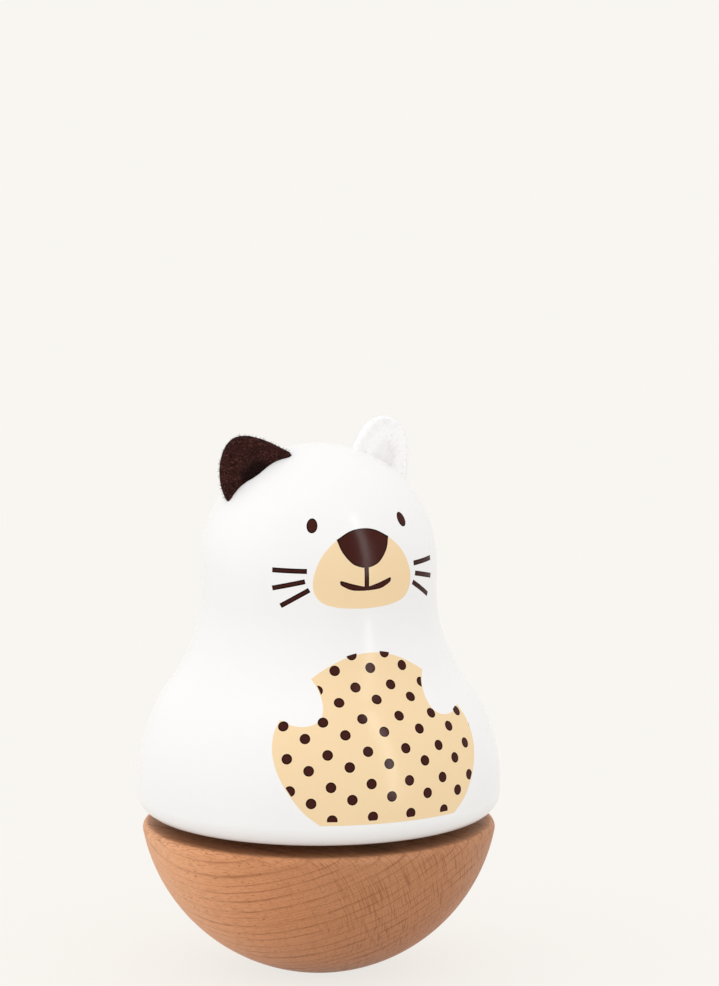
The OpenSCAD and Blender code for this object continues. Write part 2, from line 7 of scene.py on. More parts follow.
import json
import logging
import math
import random
from dataclasses import dataclass
from enum import Enum
from typing import Any, Iterator, Optional, Sequence, Union

import bpy
from mathutils import Matrix, Vector, noise
from mathutils.geometry import delaunay_2d_cdt

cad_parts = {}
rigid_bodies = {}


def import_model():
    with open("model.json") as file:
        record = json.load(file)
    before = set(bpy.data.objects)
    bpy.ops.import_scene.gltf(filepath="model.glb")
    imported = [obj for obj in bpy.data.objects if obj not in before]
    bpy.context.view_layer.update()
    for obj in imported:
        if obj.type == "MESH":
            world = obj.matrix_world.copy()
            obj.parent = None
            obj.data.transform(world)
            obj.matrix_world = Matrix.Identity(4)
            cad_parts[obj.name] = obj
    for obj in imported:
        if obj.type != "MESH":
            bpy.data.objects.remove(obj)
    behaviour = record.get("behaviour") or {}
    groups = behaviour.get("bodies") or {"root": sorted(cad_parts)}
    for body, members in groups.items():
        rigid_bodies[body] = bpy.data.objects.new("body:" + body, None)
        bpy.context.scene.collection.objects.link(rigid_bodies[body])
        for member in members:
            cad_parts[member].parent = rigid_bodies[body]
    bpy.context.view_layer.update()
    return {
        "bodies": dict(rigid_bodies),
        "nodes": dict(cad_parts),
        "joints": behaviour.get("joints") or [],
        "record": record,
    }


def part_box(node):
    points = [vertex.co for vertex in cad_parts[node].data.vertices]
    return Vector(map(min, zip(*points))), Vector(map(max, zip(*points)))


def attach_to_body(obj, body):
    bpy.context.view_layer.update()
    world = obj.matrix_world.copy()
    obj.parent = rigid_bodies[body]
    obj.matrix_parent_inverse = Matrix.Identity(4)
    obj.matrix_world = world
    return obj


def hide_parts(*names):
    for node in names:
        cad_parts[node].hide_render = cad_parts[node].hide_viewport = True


LOG = logging.getLogger("music_box")
MM = 0.001
SHARP_EDGE = math.radians(30)

# Lengths that count as none, and that a flat mesh merges
TINY = 1e-6
MERGE = 1e-5

# Mesh attributes that materials read
# Fold share of an ear's pinched foot, where the felt's material paints shade
FOLD = "fold"
EDGING = "edging"

Point = tuple[float, float]
Span = tuple[float, float]
Colour = tuple[float, float, float]
Direction = tuple[float, float, float]
Socket = bpy.types.NodeSocket
Value = Union[Socket, float, int, Sequence[float]]


# Shader nodes

class Graph:
    """Adds nodes to a shader tree and links them."""

    def __init__(self, tree: bpy.types.NodeTree) -> None:
        """Keeps the tree that the nodes go into."""
        self.tree = tree

    def add(self, kind: str, values: Optional[dict[Any, Value]] = None, **settings: Any) -> bpy.types.Node:
        """Adds one node.

        Args:
            kind: Blender's type name of the node.
            values: Sockets to link or constants to set, by the input's name or number.
            **settings: Properties of the node, set before its inputs.

        Returns:
            The new node.
        """
        node = self.tree.nodes.new(kind)
        for name, setting in settings.items():
            setattr(node, name, setting)
        for key, value in (values or {}).items():
            if isinstance(value, Socket):
                self.tree.links.new(value, node.inputs[key])
            else:
                node.inputs[key].default_value = value
        return node

    def math(self, operation: str, a: Value, b: Value = 0.0, c: Value = 0.0) -> Socket:
        """Adds a Math node.

        Args:
            operation: Name of the operation.
            a: First operand.
            b: Second operand.
            c: Third operand, where the operation has one.

        Returns:
            The result's socket.
        """
        return self.add("ShaderNodeMath", {0: a, 1: b, 2: c}, operation=operation).outputs[0]

    def span(self, value: Value, low: float, high: float, to_low: float = 0.0,
             to_high: float = 1.0) -> Socket:
        """Maps a value smoothly from one span to another and holds it at the ends.

        Args:
            value: Value to map.
            low: Start of the span that is read.
            high: End of the span that is read.
            to_low: Result at the start.
            to_high: Result at the end.

        Returns:
            The result's socket.
        """
        node = self.add("ShaderNodeMapRange", {0: value, 1: low, 2: high, 3: to_low, 4: to_high},
                        interpolation_type="SMOOTHSTEP")
        return node.outputs[0]

    def mix(self, factor: Value, first: Value, second: Value) -> Socket:
        """Mixes two colours.

        Args:
            factor: 0 for the first colour and 1 for the second.
            first: First colour, as a socket or three numbers.
            second: Second colour.

        Returns:
            The mixed colour's socket.
        """
        first = first if isinstance(first, Socket) else (*first, 1.0)
        second = second if isinstance(second, Socket) else (*second, 1.0)
        return self.add("ShaderNodeMix", {0: factor, 6: first, 7: second}, data_type="RGBA").outputs[2]

    def tint(self, body: Value, colour: Value, mask: Value, share: Value) -> Socket:
        """Mixes a share of a colour into another where a mask shows it.

        Args:
            body: Colour so far.
            colour: Colour to mix in.
            mask: Where it shows, from 0 to 1.
            share: How much of it shows there.

        Returns:
            The mixed colour's socket.
        """
        return self.mix(self.math("MULTIPLY", mask, share), body, colour)

    def attribute(self, name: str) -> Socket:
        """Returns the value of a mesh's own attribute."""
        return self.add("ShaderNodeAttribute", attribute_name=name).outputs["Fac"]

    def open_sky(self, reach: float) -> Socket:
        """Returns how open the surface is to light within a reach in metres, from 0 to 1."""
        return self.add("ShaderNodeAmbientOcclusion", {"Distance": reach}).outputs["AO"]

    def noise(self, where: Value, scale: Value, detail: float = 2.0, distortion: float = 0.0) -> Socket:
        """Adds a noise texture.

        Args:
            where: Coordinates to read.
            scale: Waves per metre.
            detail: Number of finer layers.
            distortion: How far the pattern is bent.

        Returns:
            The noise's value, about 0.5 on average.
        """
        values = {"Vector": where, "Scale": scale, "Detail": detail, "Distortion": distortion}
        return self.add("ShaderNodeTexNoise", values).outputs[0]

    def streaks(self, where: Value, scales: Direction, detail: float = 2.0,
                distortion: float = 0.0) -> Socket:
        """Adds a noise texture that is drawn out along some axes.

        Args:
            where: Coordinates to read.
            scales: Waves per metre along X, Y and Z.
            detail: Number of finer layers.
            distortion: How far the pattern is bent.

        Returns:
            The noise's value, about 0.5 on average.
        """
        return self.noise(self.stretch(where, scales), 1.0, detail, distortion)

    def stretch(self, where: Value, scales: Sequence[float]) -> Socket:
        """Multiplies coordinates by a factor for each axis.

        Args:
            where: Coordinates to stretch.
            scales: Factors along X, Y and Z.

        Returns:
            The stretched coordinates' socket.
        """
        node = self.add("ShaderNodeVectorMath", {0: where, 1: tuple(scales)}, operation="MULTIPLY")
        return node.outputs[0]

    def bump(self, height: Value, depth: float, strength: float = 1.0) -> Socket:
        """Adds a Bump node.

        Args:
            height: Height of the relief, from 0 to 1.
            depth: Depth of the relief in metres.
            strength: Share of the relief that shows.

        Returns:
            The bumped normal's socket.
        """
        values = {"Height": height, "Distance": depth, "Strength": strength}
        return self.add("ShaderNodeBump", values).outputs[0]


def blank_graph(owner: Union[bpy.types.Material, bpy.types.World]) -> Graph:
    """Empties the nodes of a material or world.

    Args:
        owner: The material or world.

    Returns:
        Its graph.
    """
    owner.use_nodes = True
    owner.node_tree.nodes.clear()
    return Graph(owner.node_tree)


@dataclass(frozen=True)
class Port:
    """One socket of a shader group."""

    name: str
    kind: str = "NodeSocketFloat"
    value: Optional[float] = None


WHERE = Port("Vector", "NodeSocketVector")


class Effect:
    """A surface effect that is built once as a node group and placed in several materials."""

    name: str = ""
    takes: tuple[Port, ...] = (WHERE,)
    gives: tuple[str, ...] = ()

    def wire(self, graph: Graph, given: Any) -> dict[str, Socket]:
        """Builds the group's inside.

        Args:
            graph: Graph of the group.
            given: Sockets of the group's inputs, by name.

        Returns:
            The socket for each of the group's outputs.
        """
        raise NotImplementedError

    def tree(self) -> bpy.types.NodeTree:
        """Finds the group's tree, or builds it the first time.

        Returns:
            The tree.
        """
        found = bpy.data.node_groups.get(self.name)
        if found is not None:
            return found
        tree = bpy.data.node_groups.new(self.name, "ShaderNodeTree")
        for port in self.takes:
            socket = tree.interface.new_socket(port.name, in_out="INPUT", socket_type=port.kind)
            if port.value is not None:
                socket.default_value = port.value
        for name in self.gives:
            tree.interface.new_socket(name, in_out="OUTPUT", socket_type="NodeSocketFloat")
        graph = Graph(tree)
        start = graph.add("NodeGroupInput")
        graph.add("NodeGroupOutput", self.wire(graph, start.outputs))
        return tree

    def place(self, graph: Graph, where: Socket, **values: float) -> Any:
        """Places the group in a material.

        Args:
            graph: Graph of the material.
            where: Coordinates for the group.
            **values: The material's own values for the group's other inputs.

        Returns:
            The group's output sockets, by name.
        """
        return graph.add("ShaderNodeGroup", {"Vector": where, **values}, node_tree=self.tree()).outputs


class CuredFilm(Effect):
    """Sprayed and cured coat: faint orange peel, broad tone drift and settled dust."""

    name = "cured_film"
    takes = (WHERE, Port("Peel", value=600.0))
    gives = ("Tone", "Gloss", "Height")
    most_gloss: float = 1.6
    drift_scale: float = 45.0
    drift_span: Span = (0.3, 0.7)
    haze_scale: float = 110.0
    haze_span: Span = (0.35, 0.75)
    dust_scale: float = 2600.0
    dust_span: Span = (0.70, 0.80)
    dust_height: float = 0.5

    def wire(self, graph: Graph, given: Any) -> dict[str, Socket]:
        """Builds the film's tone, gloss and relief.

        Args:
            graph: Graph of the group.
            given: Sockets of the group's inputs, by name.

        Returns:
            The socket for each of the group's outputs.
        """
        where = given["Vector"]
        drift = graph.noise(where, self.drift_scale, detail=3.0)
        peel = graph.noise(where, given["Peel"])
        dust = graph.span(graph.noise(where, self.dust_scale, detail=1.0), *self.dust_span)
        haze = graph.span(graph.noise(where, self.haze_scale, detail=4.0), *self.haze_span)
        return {
            "Tone": graph.span(drift, *self.drift_span),
            "Gloss": graph.math("ADD", haze, dust),
            "Height": graph.math("MULTIPLY_ADD", dust, self.dust_height, peel),
        }


class FeltPile(Effect):
    """Matted wool: crossing fibres in clumps, with paler stray hairs."""

    name = "felt_pile"
    takes = (WHERE, Port("Fibres", value=1500.0))
    gives = ("Fibre", "Clump", "Stray", "Height")
    fibre_bend: float = 1.5
    fibre_span: Span = (0.32, 0.68)
    clump_scale: float = 420.0
    clump_bend: float = 0.8
    clump_span: Span = (0.3, 0.7)
    clump_height: float = 0.8
    hair_runs: tuple[Direction, ...] = ((900.0, 4400.0, 2600.0), (4200.0, 800.0, 2600.0))
    hair_turn: Direction = (0.6, 0.9, 0.4)
    hair_bend: float = 0.6
    hair_span: Span = (0.58, 0.70)
    hair_height: float = 0.4

    def wire(self, graph: Graph, given: Any) -> dict[str, Socket]:
        """Builds the fibres, clumps and stray hairs.

        Args:
            graph: Graph of the group.
            given: Sockets of the group's inputs, by name.

        Returns:
            The socket for each of the group's outputs.
        """
        where = given["Vector"]
        fibre = graph.noise(where, given["Fibres"], 3.0, self.fibre_bend)
        clump = graph.noise(where, self.clump_scale, 3.0, self.clump_bend)
        turned = graph.add("ShaderNodeMapping", {"Vector": where, "Rotation": self.hair_turn}).outputs[0]
        hairs = []
        for place, run in zip((where, turned), self.hair_runs):
            hairs.append(graph.span(graph.streaks(place, run, 1.0, self.hair_bend), *self.hair_span))
        stray = graph.math("MAXIMUM", *hairs)
        matted = graph.math("MULTIPLY_ADD", clump, self.clump_height, fibre)
        return {
            "Fibre": graph.span(fibre, *self.fibre_span),
            "Clump": graph.span(clump, *self.clump_span),
            "Stray": stray,
            "Height": graph.math("MULTIPLY_ADD", stray, self.hair_height, matted),
        }


class WoodFigure(Effect):
    """Diffuse-porous timber with X along the fibres and Z across the growth layers."""

    name = "wood_figure"
    takes = (WHERE, Port("Layers", value=385.0), Port("Bow", value=2.0))
    gives = ("Layer", "Ray", "Pore", "Silk", "Tone", "Height")
    slow_run: Direction = (0.35, 1.0, 1.0)
    slow_scale: float = 26.0
    slow_sway: float = 0.004
    fine_run: Direction = (0.4, 1.0, 1.0)
    fine_scale: float = 300.0
    fine_sway: float = 0.0006
    year_scale: float = 170.0
    year_sway: float = 0.006
    late_rise: Span = (0.72, 0.94)
    thin_layers: float = 2.7
    thin_rise: Span = (0.60, 0.92)
    thin_share: float = 0.45
    patch_run: Direction = (0.5, 1.0, 1.0)
    patch_scale: float = 140.0
    patch_span: Span = (0.34, 0.62)
    late_least: float = 0.3
    fleck_run: Direction = (620.0, 3400.0, 130.0)
    fleck_span: Span = (0.56, 0.70)
    fleck_share: float = 0.8
    sheet_run: Direction = (420.0, 3000.0, 80.0)
    sheet_span: Span = (0.62, 0.72)
    ray_bend: float = 0.2
    line_run: Direction = (450.0, 2500.0, 2500.0)
    line_span: Span = (0.48, 0.72)
    line_share: float = 0.6
    silk_span: Span = (0.28, 0.5)
    dash_run: Direction = (640.0, 2700.0, 2700.0)
    dash_span: Span = (0.73, 0.80)
    dash_share: float = 1.6
    tone_span: Span = (0.3, 0.72)
    pore_depth: float = 0.6
    ray_depth: float = 0.5

    def wire(self, graph: Graph, given: Any) -> dict[str, Socket]:
        """Builds growth layers, rays, pores and tone.

        Args:
            graph: Graph of the group.
            given: Sockets of the group's inputs, by name.

        Returns:
            The socket for each of the group's outputs.
        """
        where = given["Vector"]
        slow = graph.noise(graph.stretch(where, self.slow_run), self.slow_scale)
        layer = self.layers(graph, given, slow)
        fleck = graph.streaks(where, self.fleck_run, 0.5, self.ray_bend)
        sheet = graph.streaks(where, self.sheet_run, 0.5, self.ray_bend)
        ray = graph.math("MULTIPLY", graph.span(fleck, *self.fleck_span), self.fleck_share)
        ray = graph.math("MAXIMUM", ray, graph.span(sheet, *self.sheet_span))
        line = graph.streaks(where, self.line_run)
        dash = graph.streaks(where, self.dash_run, 0.0)
        pore = graph.math("MULTIPLY", graph.span(line, *self.line_span), self.line_share)
        pore = graph.math("MAXIMUM", pore, graph.span(dash, *self.dash_span, 0.0, self.dash_share))
        sunk = graph.math("MULTIPLY_ADD", ray, self.ray_depth, layer)
        sunk = graph.math("MULTIPLY_ADD", pore, self.pore_depth, sunk)
        return {
            "Layer": layer,
            "Ray": ray,
            "Pore": pore,
            "Silk": graph.span(line, *self.silk_span, 1.0, 0.0),
            "Tone": graph.span(slow, *self.tone_span),
            "Height": graph.math("SUBTRACT", 1.0, sunk),
        }

    def layers(self, graph: Graph, given: Any, slow: Socket) -> Socket:
        """Builds the growth layers: dark late wood, with thinner lines in its pale patches.

        Args:
            graph: Graph of the group.
            given: Sockets of the group's inputs, by name.
            slow: Broad noise that sways the layers.

        Returns:
            How dark the layers are, from 0 to 1.
        """
        where = given["Vector"]
        axes = graph.add("ShaderNodeSeparateXYZ", {0: where}).outputs
        fine = graph.noise(graph.stretch(where, self.fine_run), self.fine_scale)
        bow = graph.math("MULTIPLY", graph.math("MULTIPLY", axes["Y"], axes["Y"]), given["Bow"])
        depth = graph.math("ADD", axes["Z"], bow)
        depth = graph.math("MULTIPLY_ADD", slow, self.slow_sway, depth)
        depth = graph.math("MULTIPLY_ADD", fine, self.fine_sway, depth)
        years = graph.add("ShaderNodeCombineXYZ", {"Z": depth}).outputs[0]
        uneven = graph.noise(years, self.year_scale, detail=1.0)
        depth = graph.math("MULTIPLY_ADD", uneven, self.year_sway, depth)
        late = self.ring(graph, graph.math("MULTIPLY", depth, given["Layers"]), self.late_rise, 1.0)
        finer = graph.math("MULTIPLY", given["Layers"], self.thin_layers)
        thin = self.ring(graph, graph.math("MULTIPLY", depth, finer), self.thin_rise, self.thin_share)
        patch = graph.noise(graph.stretch(where, self.patch_run), self.patch_scale)
        patch = graph.span(patch, *self.patch_span)
        most = graph.math("MULTIPLY_ADD", patch, 1.0 - self.late_least, self.late_least)
        faint = graph.math("MULTIPLY", thin, graph.math("SUBTRACT", 1.0, patch))
        return graph.math("MAXIMUM", graph.math("MULTIPLY", late, most), faint)

    def ring(self, graph: Graph, count: Socket, rise: Span, share: float) -> Socket:
        """Builds one dark line in each layer, which rises slowly and ends sharply.

        Args:
            graph: Graph of the group.
            count: Number of layers so far.
            rise: Where in the layer the line starts and is darkest.
            share: How dark it is there.

        Returns:
            The line's socket.
        """
        turn = graph.math("FRACT", count)
        return graph.math("MULTIPLY", graph.span(turn, *rise), graph.span(turn, rise[1], 1.0, share, 0.0))


class ToolMarks(Effect):
    """Fine turning and milling lines with broad handling stains."""

    name = "tool_marks"
    takes = (WHERE, Port("Lines", value=5000.0))
    gives = ("Line", "Stain")
    stain_scale: float = 160.0
    stain_span: Span = (0.35, 0.7)

    def wire(self, graph: Graph, given: Any) -> dict[str, Socket]:
        """Builds the lines and stains.

        Args:
            graph: Graph of the group.
            given: Sockets of the group's inputs, by name.

        Returns:
            The socket for each of the group's outputs.
        """
        where = given["Vector"]
        axes = graph.add("ShaderNodeSeparateXYZ", {0: where}).outputs
        across = graph.math("POWER", axes["X"], 2.0)
        radius = graph.math("SQRT", graph.math("ADD", across, graph.math("POWER", axes["Y"], 2.0)))
        spread = graph.add("ShaderNodeCombineXYZ", {"X": radius, "Y": axes["Z"]}).outputs[0]
        return {
            "Line": graph.noise(spread, given["Lines"]),
            "Stain": graph.span(graph.noise(where, self.stain_scale, detail=4.0), *self.stain_span),
        }


class EdgeWear(Effect):
    """Mask of rubbed outer edges, broken up by fine noise."""

    name = "edge_wear"
    takes = (WHERE, Port("Chips", value=1200.0))
    gives = ("Edge",)
    edge_span: Span = (0.52, 0.60)
    chip_span: Span = (0.3, 0.6)

    def wire(self, graph: Graph, given: Any) -> dict[str, Socket]:
        """Builds the mask.

        Args:
            graph: Graph of the group.
            given: Sockets of the group's inputs, by name.

        Returns:
            The socket for each of the group's outputs.
        """
        sharp = graph.add("ShaderNodeNewGeometry").outputs["Pointiness"]
        chips = graph.span(graph.noise(given["Vector"], given["Chips"], detail=3.0), *self.chip_span)
        return {"Edge": graph.math("MULTIPLY", graph.span(sharp, *self.edge_span), chips)}


# Finishes

@dataclass(frozen=True)
class Finish:
    """A procedural finish with its main colour and roughness."""

    name: str
    colour: Colour
    roughness: float

    def start(self) -> tuple[bpy.types.Material, Graph, bpy.types.Node, Socket]:
        """Makes an empty material.

        Returns:
            The material, its graph, its Principled shader and the object coordinates.
        """
        material = bpy.data.materials.new(self.name)
        graph = blank_graph(material)
        shader = graph.add("ShaderNodeBsdfPrincipled")
        graph.add("ShaderNodeOutputMaterial", {"Surface": shader.outputs[0]})
        where = graph.add("ShaderNodeTexCoord").outputs["Object"]
        return material, graph, shader, where

    def feed(self, graph: Graph, shader: bpy.types.Node, sockets: dict[str, Socket]) -> None:
        """Links sockets to the shader's inputs.

        Args:
            graph: Graph of the material.
            shader: The Principled shader.
            sockets: What feeds each input, by the input's name.
        """
        for name, socket in sockets.items():
            graph.tree.links.new(socket, shader.inputs[name])

    def drift(self, graph: Graph, mask: Socket, most: float, factor: float) -> Socket:
        """Returns a roughness that grows with a mask.

        Args:
            graph: Graph of the material.
            mask: Where the surface is duller.
            most: Highest value of the mask.
            factor: The roughness there, as a multiple of the finish's own.

        Returns:
            The roughness's socket.
        """
        return graph.span(mask, 0.0, most, self.roughness, self.roughness * factor)

    def material(self) -> bpy.types.Material:
        """Builds the finish's material."""
        raise NotImplementedError


@dataclass(frozen=True)
class Lacquer(Finish):
    """Glossy sprayed lacquer, or ink under the same clear coat."""

    shade: Colour = (0.9, 0.9, 0.9)
    edge: Optional[Colour] = None
    edge_span: Span = (0.05, 0.6)
    gloss: float = 0.08
    dullest: float = 1.8
    peel: float = 520.0
    peel_depth: float = 0.000008

    def material(self) -> bpy.types.Material:
        """Builds the lacquer's nodes.

        Returns:
            The material.
        """
        material, graph, shader, where = self.start()
        film = CuredFilm().place(graph, where, Peel=self.peel)
        body = graph.mix(film["Tone"], self.colour, self.shade)
        if self.edge:
            body = graph.mix(graph.span(graph.attribute(EDGING), *self.edge_span), body, self.edge)
        self.feed(graph, shader, {
            "Base Color": body,
            "Roughness": self.drift(graph, film["Gloss"], CuredFilm.most_gloss, self.dullest),
            "Normal": graph.bump(film["Height"], self.peel_depth),
        })
        shader.inputs["Specular IOR Level"].default_value = self.gloss
        return material


@dataclass(frozen=True)
class Felt(Finish):
    """Fuzzy wool felt, with painted shade near its root and on its pinched fold."""

    deep: Colour = (0.0, 0.0, 0.0)
    hair: Colour = (1.0, 1.0, 1.0)
    # Painted shade: the colour the felt turns to on its pinched fold and where the head crowds its root
    fold: Colour = (0.0, 0.0, 0.0)
    fibres: float = 1500.0
    chips: float = 900.0
    clump_share: float = 0.4
    edge_share: float = 0.5
    hair_share: float = 0.85
    fold_shade_share: float = 0.9
    fold_span: Span = (0.15, 0.7)
    fold_shade_reach: float = 0.006
    sky_span: Span = (0.2, 0.8)
    sheen: float = 0.3
    sheen_roughness: float = 0.5
    relief: float = 0.00025
    relief_share: float = 0.8
    gloss: float = 0.15

    def material(self) -> bpy.types.Material:
        """Builds the felt's nodes.

        Returns:
            The material.
        """
        material, graph, shader, where = self.start()
        pile = FeltPile().place(graph, where, Fibres=self.fibres)
        body = graph.mix(pile["Fibre"], self.deep, self.colour)
        body = graph.tint(body, self.colour, pile["Clump"], self.clump_share)
        # Painted shade where little light reaches, near the root and in the cup
        body = graph.mix(graph.span(graph.open_sky(self.fold_shade_reach), *self.sky_span), self.fold, body)
        edge = EdgeWear().place(graph, where, Chips=self.chips)["Edge"]
        body = graph.tint(body, self.deep, edge, self.edge_share)
        body = graph.tint(body, self.hair, pile["Stray"], self.hair_share)
        # Painted shade on the pinched fold at the foot, by the mesh's fold share
        pinch_shade = graph.span(graph.attribute(FOLD), *self.fold_span, 0.0, self.fold_shade_share)
        self.feed(graph, shader, {
            "Base Color": graph.mix(pinch_shade, body, self.fold),
            "Roughness": graph.span(pile["Fibre"], 0.0, 1.0, self.roughness, 1.0),
            "Normal": graph.bump(pile["Height"], self.relief, self.relief_share),
        })
        shader.inputs["Sheen Weight"].default_value = self.sheen
        shader.inputs["Sheen Roughness"].default_value = self.sheen_roughness
        shader.inputs["Specular IOR Level"].default_value = self.gloss
        return material


@dataclass(frozen=True)
class Timber(Finish):
    """Sanded and oiled timber, with its fibres and growth layers set at chosen directions."""

    dark: Colour = (0.2, 0.1, 0.05)
    pale: Colour = (0.8, 0.6, 0.4)
    # Painted shade: dark colour laid on the wood in the narrow gap under the figure
    gap_shade: Colour = (0.06, 0.02, 0.008)
    fibre: Direction = (1.0, 0.0, 0.0)
    growth: Direction = (0.0, 0.0, 1.0)
    layers: float = 385.0
    bow: float = 2.0
    chips: float = 1600.0
    tone_share: float = 0.5
    silk_share: float = 0.28
    layer_share: float = 0.55
    pore_share: float = 0.34
    edge_share: float = 0.5
    # Painted light: the side that faces against the fibre direction is drawn paler, as if lit
    lit_side_facing: Span = (-0.5, 0.3)
    lit_side_share: float = 0.55
    ray_facing: Span = (0.55, 0.95)
    ray_shares: Span = (0.5, 0.06)
    # End grain drawn darker on one side only: partly the end grain's own colour, partly painted shade
    end_grain_and_shade_facing: Span = (-0.35, 0.95)
    end_grain_and_shade_share: float = 0.5
    # Reach and span of the painted gap shade, and the heights below which it fades out near the floor
    gap_reach: float = 0.0045
    gap_span: Span = (0.1, 0.85)
    foot_rows: Span = (0.012, 0.03)
    relief_span: Span = (-0.6, 1.0)
    dullest: float = 1.25
    relief: float = 0.00004
    relief_share: float = 0.7
    gloss: float = 0.15

    def axes(self) -> tuple[Vector, Vector, Vector]:
        """Finds the timber's three directions.

        Returns:
            Directions along the fibres, along the growth layers and across them.
        """
        up = Vector(self.growth).normalized()
        across = up.cross(Vector(self.fibre)).normalized()
        return across.cross(up), across, up

    def facing(self, graph: Graph, way: Vector) -> Socket:
        """Returns how squarely the surface faces along a direction, from -1 to 1."""
        values = {0: graph.add("ShaderNodeTexCoord").outputs["Normal"], 1: way}
        return graph.add("ShaderNodeVectorMath", values, operation="DOT_PRODUCT").outputs["Value"]

    def material(self) -> bpy.types.Material:
        """Builds the timber's nodes.

        Returns:
            The material.
        """
        material, graph, shader, where = self.start()
        rotation = Matrix(self.axes()).to_euler()
        laid = graph.add("ShaderNodeMapping", {"Vector": where, "Rotation": rotation}).outputs[0]
        wood = WoodFigure().place(graph, laid, Layers=self.layers, Bow=self.bow)
        edge = EdgeWear().place(graph, where, Chips=self.chips)["Edge"]
        along, across, _ = self.axes()
        body = graph.tint(self.colour, self.pale, wood["Tone"], self.tone_share)
        body = graph.tint(body, self.pale, wood["Silk"], self.silk_share)
        body = graph.tint(body, self.dark, wood["Layer"], self.layer_share)
        # Painted light: paler wood on the side that faces against the fibres
        far = graph.span(self.facing(graph, along), *self.lit_side_facing, self.lit_side_share, 0.0)
        body = graph.mix(far, body, self.pale)
        square = graph.math("ABSOLUTE", self.facing(graph, across))
        show = graph.span(square, *self.ray_facing, *self.ray_shares)
        body = graph.tint(body, self.dark, wood["Ray"], show)
        body = graph.tint(body, self.dark, wood["Pore"], self.pore_share)
        # Darker end grain on the side facing along the fibres: partly real end grain, partly painted shade
        end = graph.span(self.facing(graph, along), *self.end_grain_and_shade_facing, 0.0, self.end_grain_and_shade_share)
        body = graph.mix(end, body, self.dark)
        body = graph.tint(body, self.pale, edge, self.edge_share)
        # Painted shade: the wood turns dark where the gap under the figure keeps light out, but not near the
        # standing flat
        height = graph.add("ShaderNodeSeparateXYZ", {0: where}).outputs["Z"]
        foot = graph.span(height, *self.foot_rows, 1.0, 0.0)
        unshaded = graph.math("MAXIMUM", graph.span(graph.open_sky(self.gap_reach), *self.gap_span), foot)
        dull = self.roughness * self.dullest
        self.feed(graph, shader, {
            "Base Color": graph.mix(unshaded, self.gap_shade, body),
            "Roughness": graph.span(wood["Height"], *self.relief_span, dull, self.roughness),
            "Normal": graph.bump(wood["Height"], self.relief, self.relief_share),
        })
        shader.inputs["Specular IOR Level"].default_value = self.gloss
        return material


@dataclass(frozen=True)
class Metal(Finish):
    """Turned, rolled or cast metal with tool marks, stains and bright edges."""

    stain: Colour = (0.3, 0.3, 0.3)
    bright: Colour = (0.9, 0.9, 0.9)
    lines: float = 5000.0
    chips: float = 2500.0
    stain_share: float = 0.45
    edge_share: float = 0.6
    dullest: float = 1.5
    relief: float = 0.00001
    relief_share: float = 0.6

    def material(self) -> bpy.types.Material:
        """Builds the metal's nodes.

        Returns:
            The material.
        """
        material, graph, shader, where = self.start()
        marks = ToolMarks().place(graph, where, Lines=self.lines)
        edge = EdgeWear().place(graph, where, Chips=self.chips)["Edge"]
        body = graph.tint(self.colour, self.stain, marks["Stain"], self.stain_share)
        self.feed(graph, shader, {
            "Base Color": graph.tint(body, self.bright, edge, self.edge_share),
            "Roughness": self.drift(graph, marks["Stain"], 1.0, self.dullest),
            "Normal": graph.bump(marks["Line"], self.relief, self.relief_share),
        })
        shader.inputs["Metallic"].default_value = 1.0
        return material


@dataclass(frozen=True)
class Moulding(Finish):
    """Moulded nylon with a faint flow pattern and scuffed edges."""

    scuff: Colour = (0.9, 0.9, 0.9)
    flow: float = 1800.0
    chips: float = 2000.0
    flow_share: float = 0.25
    edge_share: float = 0.5
    dullest: float = 1.3
    relief: float = 0.00002

    def material(self) -> bpy.types.Material:
        """Builds the nylon's nodes.

        Returns:
            The material.
        """
        material, graph, shader, where = self.start()
        film = CuredFilm().place(graph, where, Peel=self.flow)
        edge = EdgeWear().place(graph, where, Chips=self.chips)["Edge"]
        body = graph.tint(self.colour, self.scuff, film["Tone"], self.flow_share)
        self.feed(graph, shader, {
            "Base Color": graph.tint(body, self.scuff, edge, self.edge_share),
            "Roughness": self.drift(graph, film["Gloss"], CuredFilm.most_gloss, self.dullest),
            "Normal": graph.bump(film["Height"], self.relief),
        })
        return material


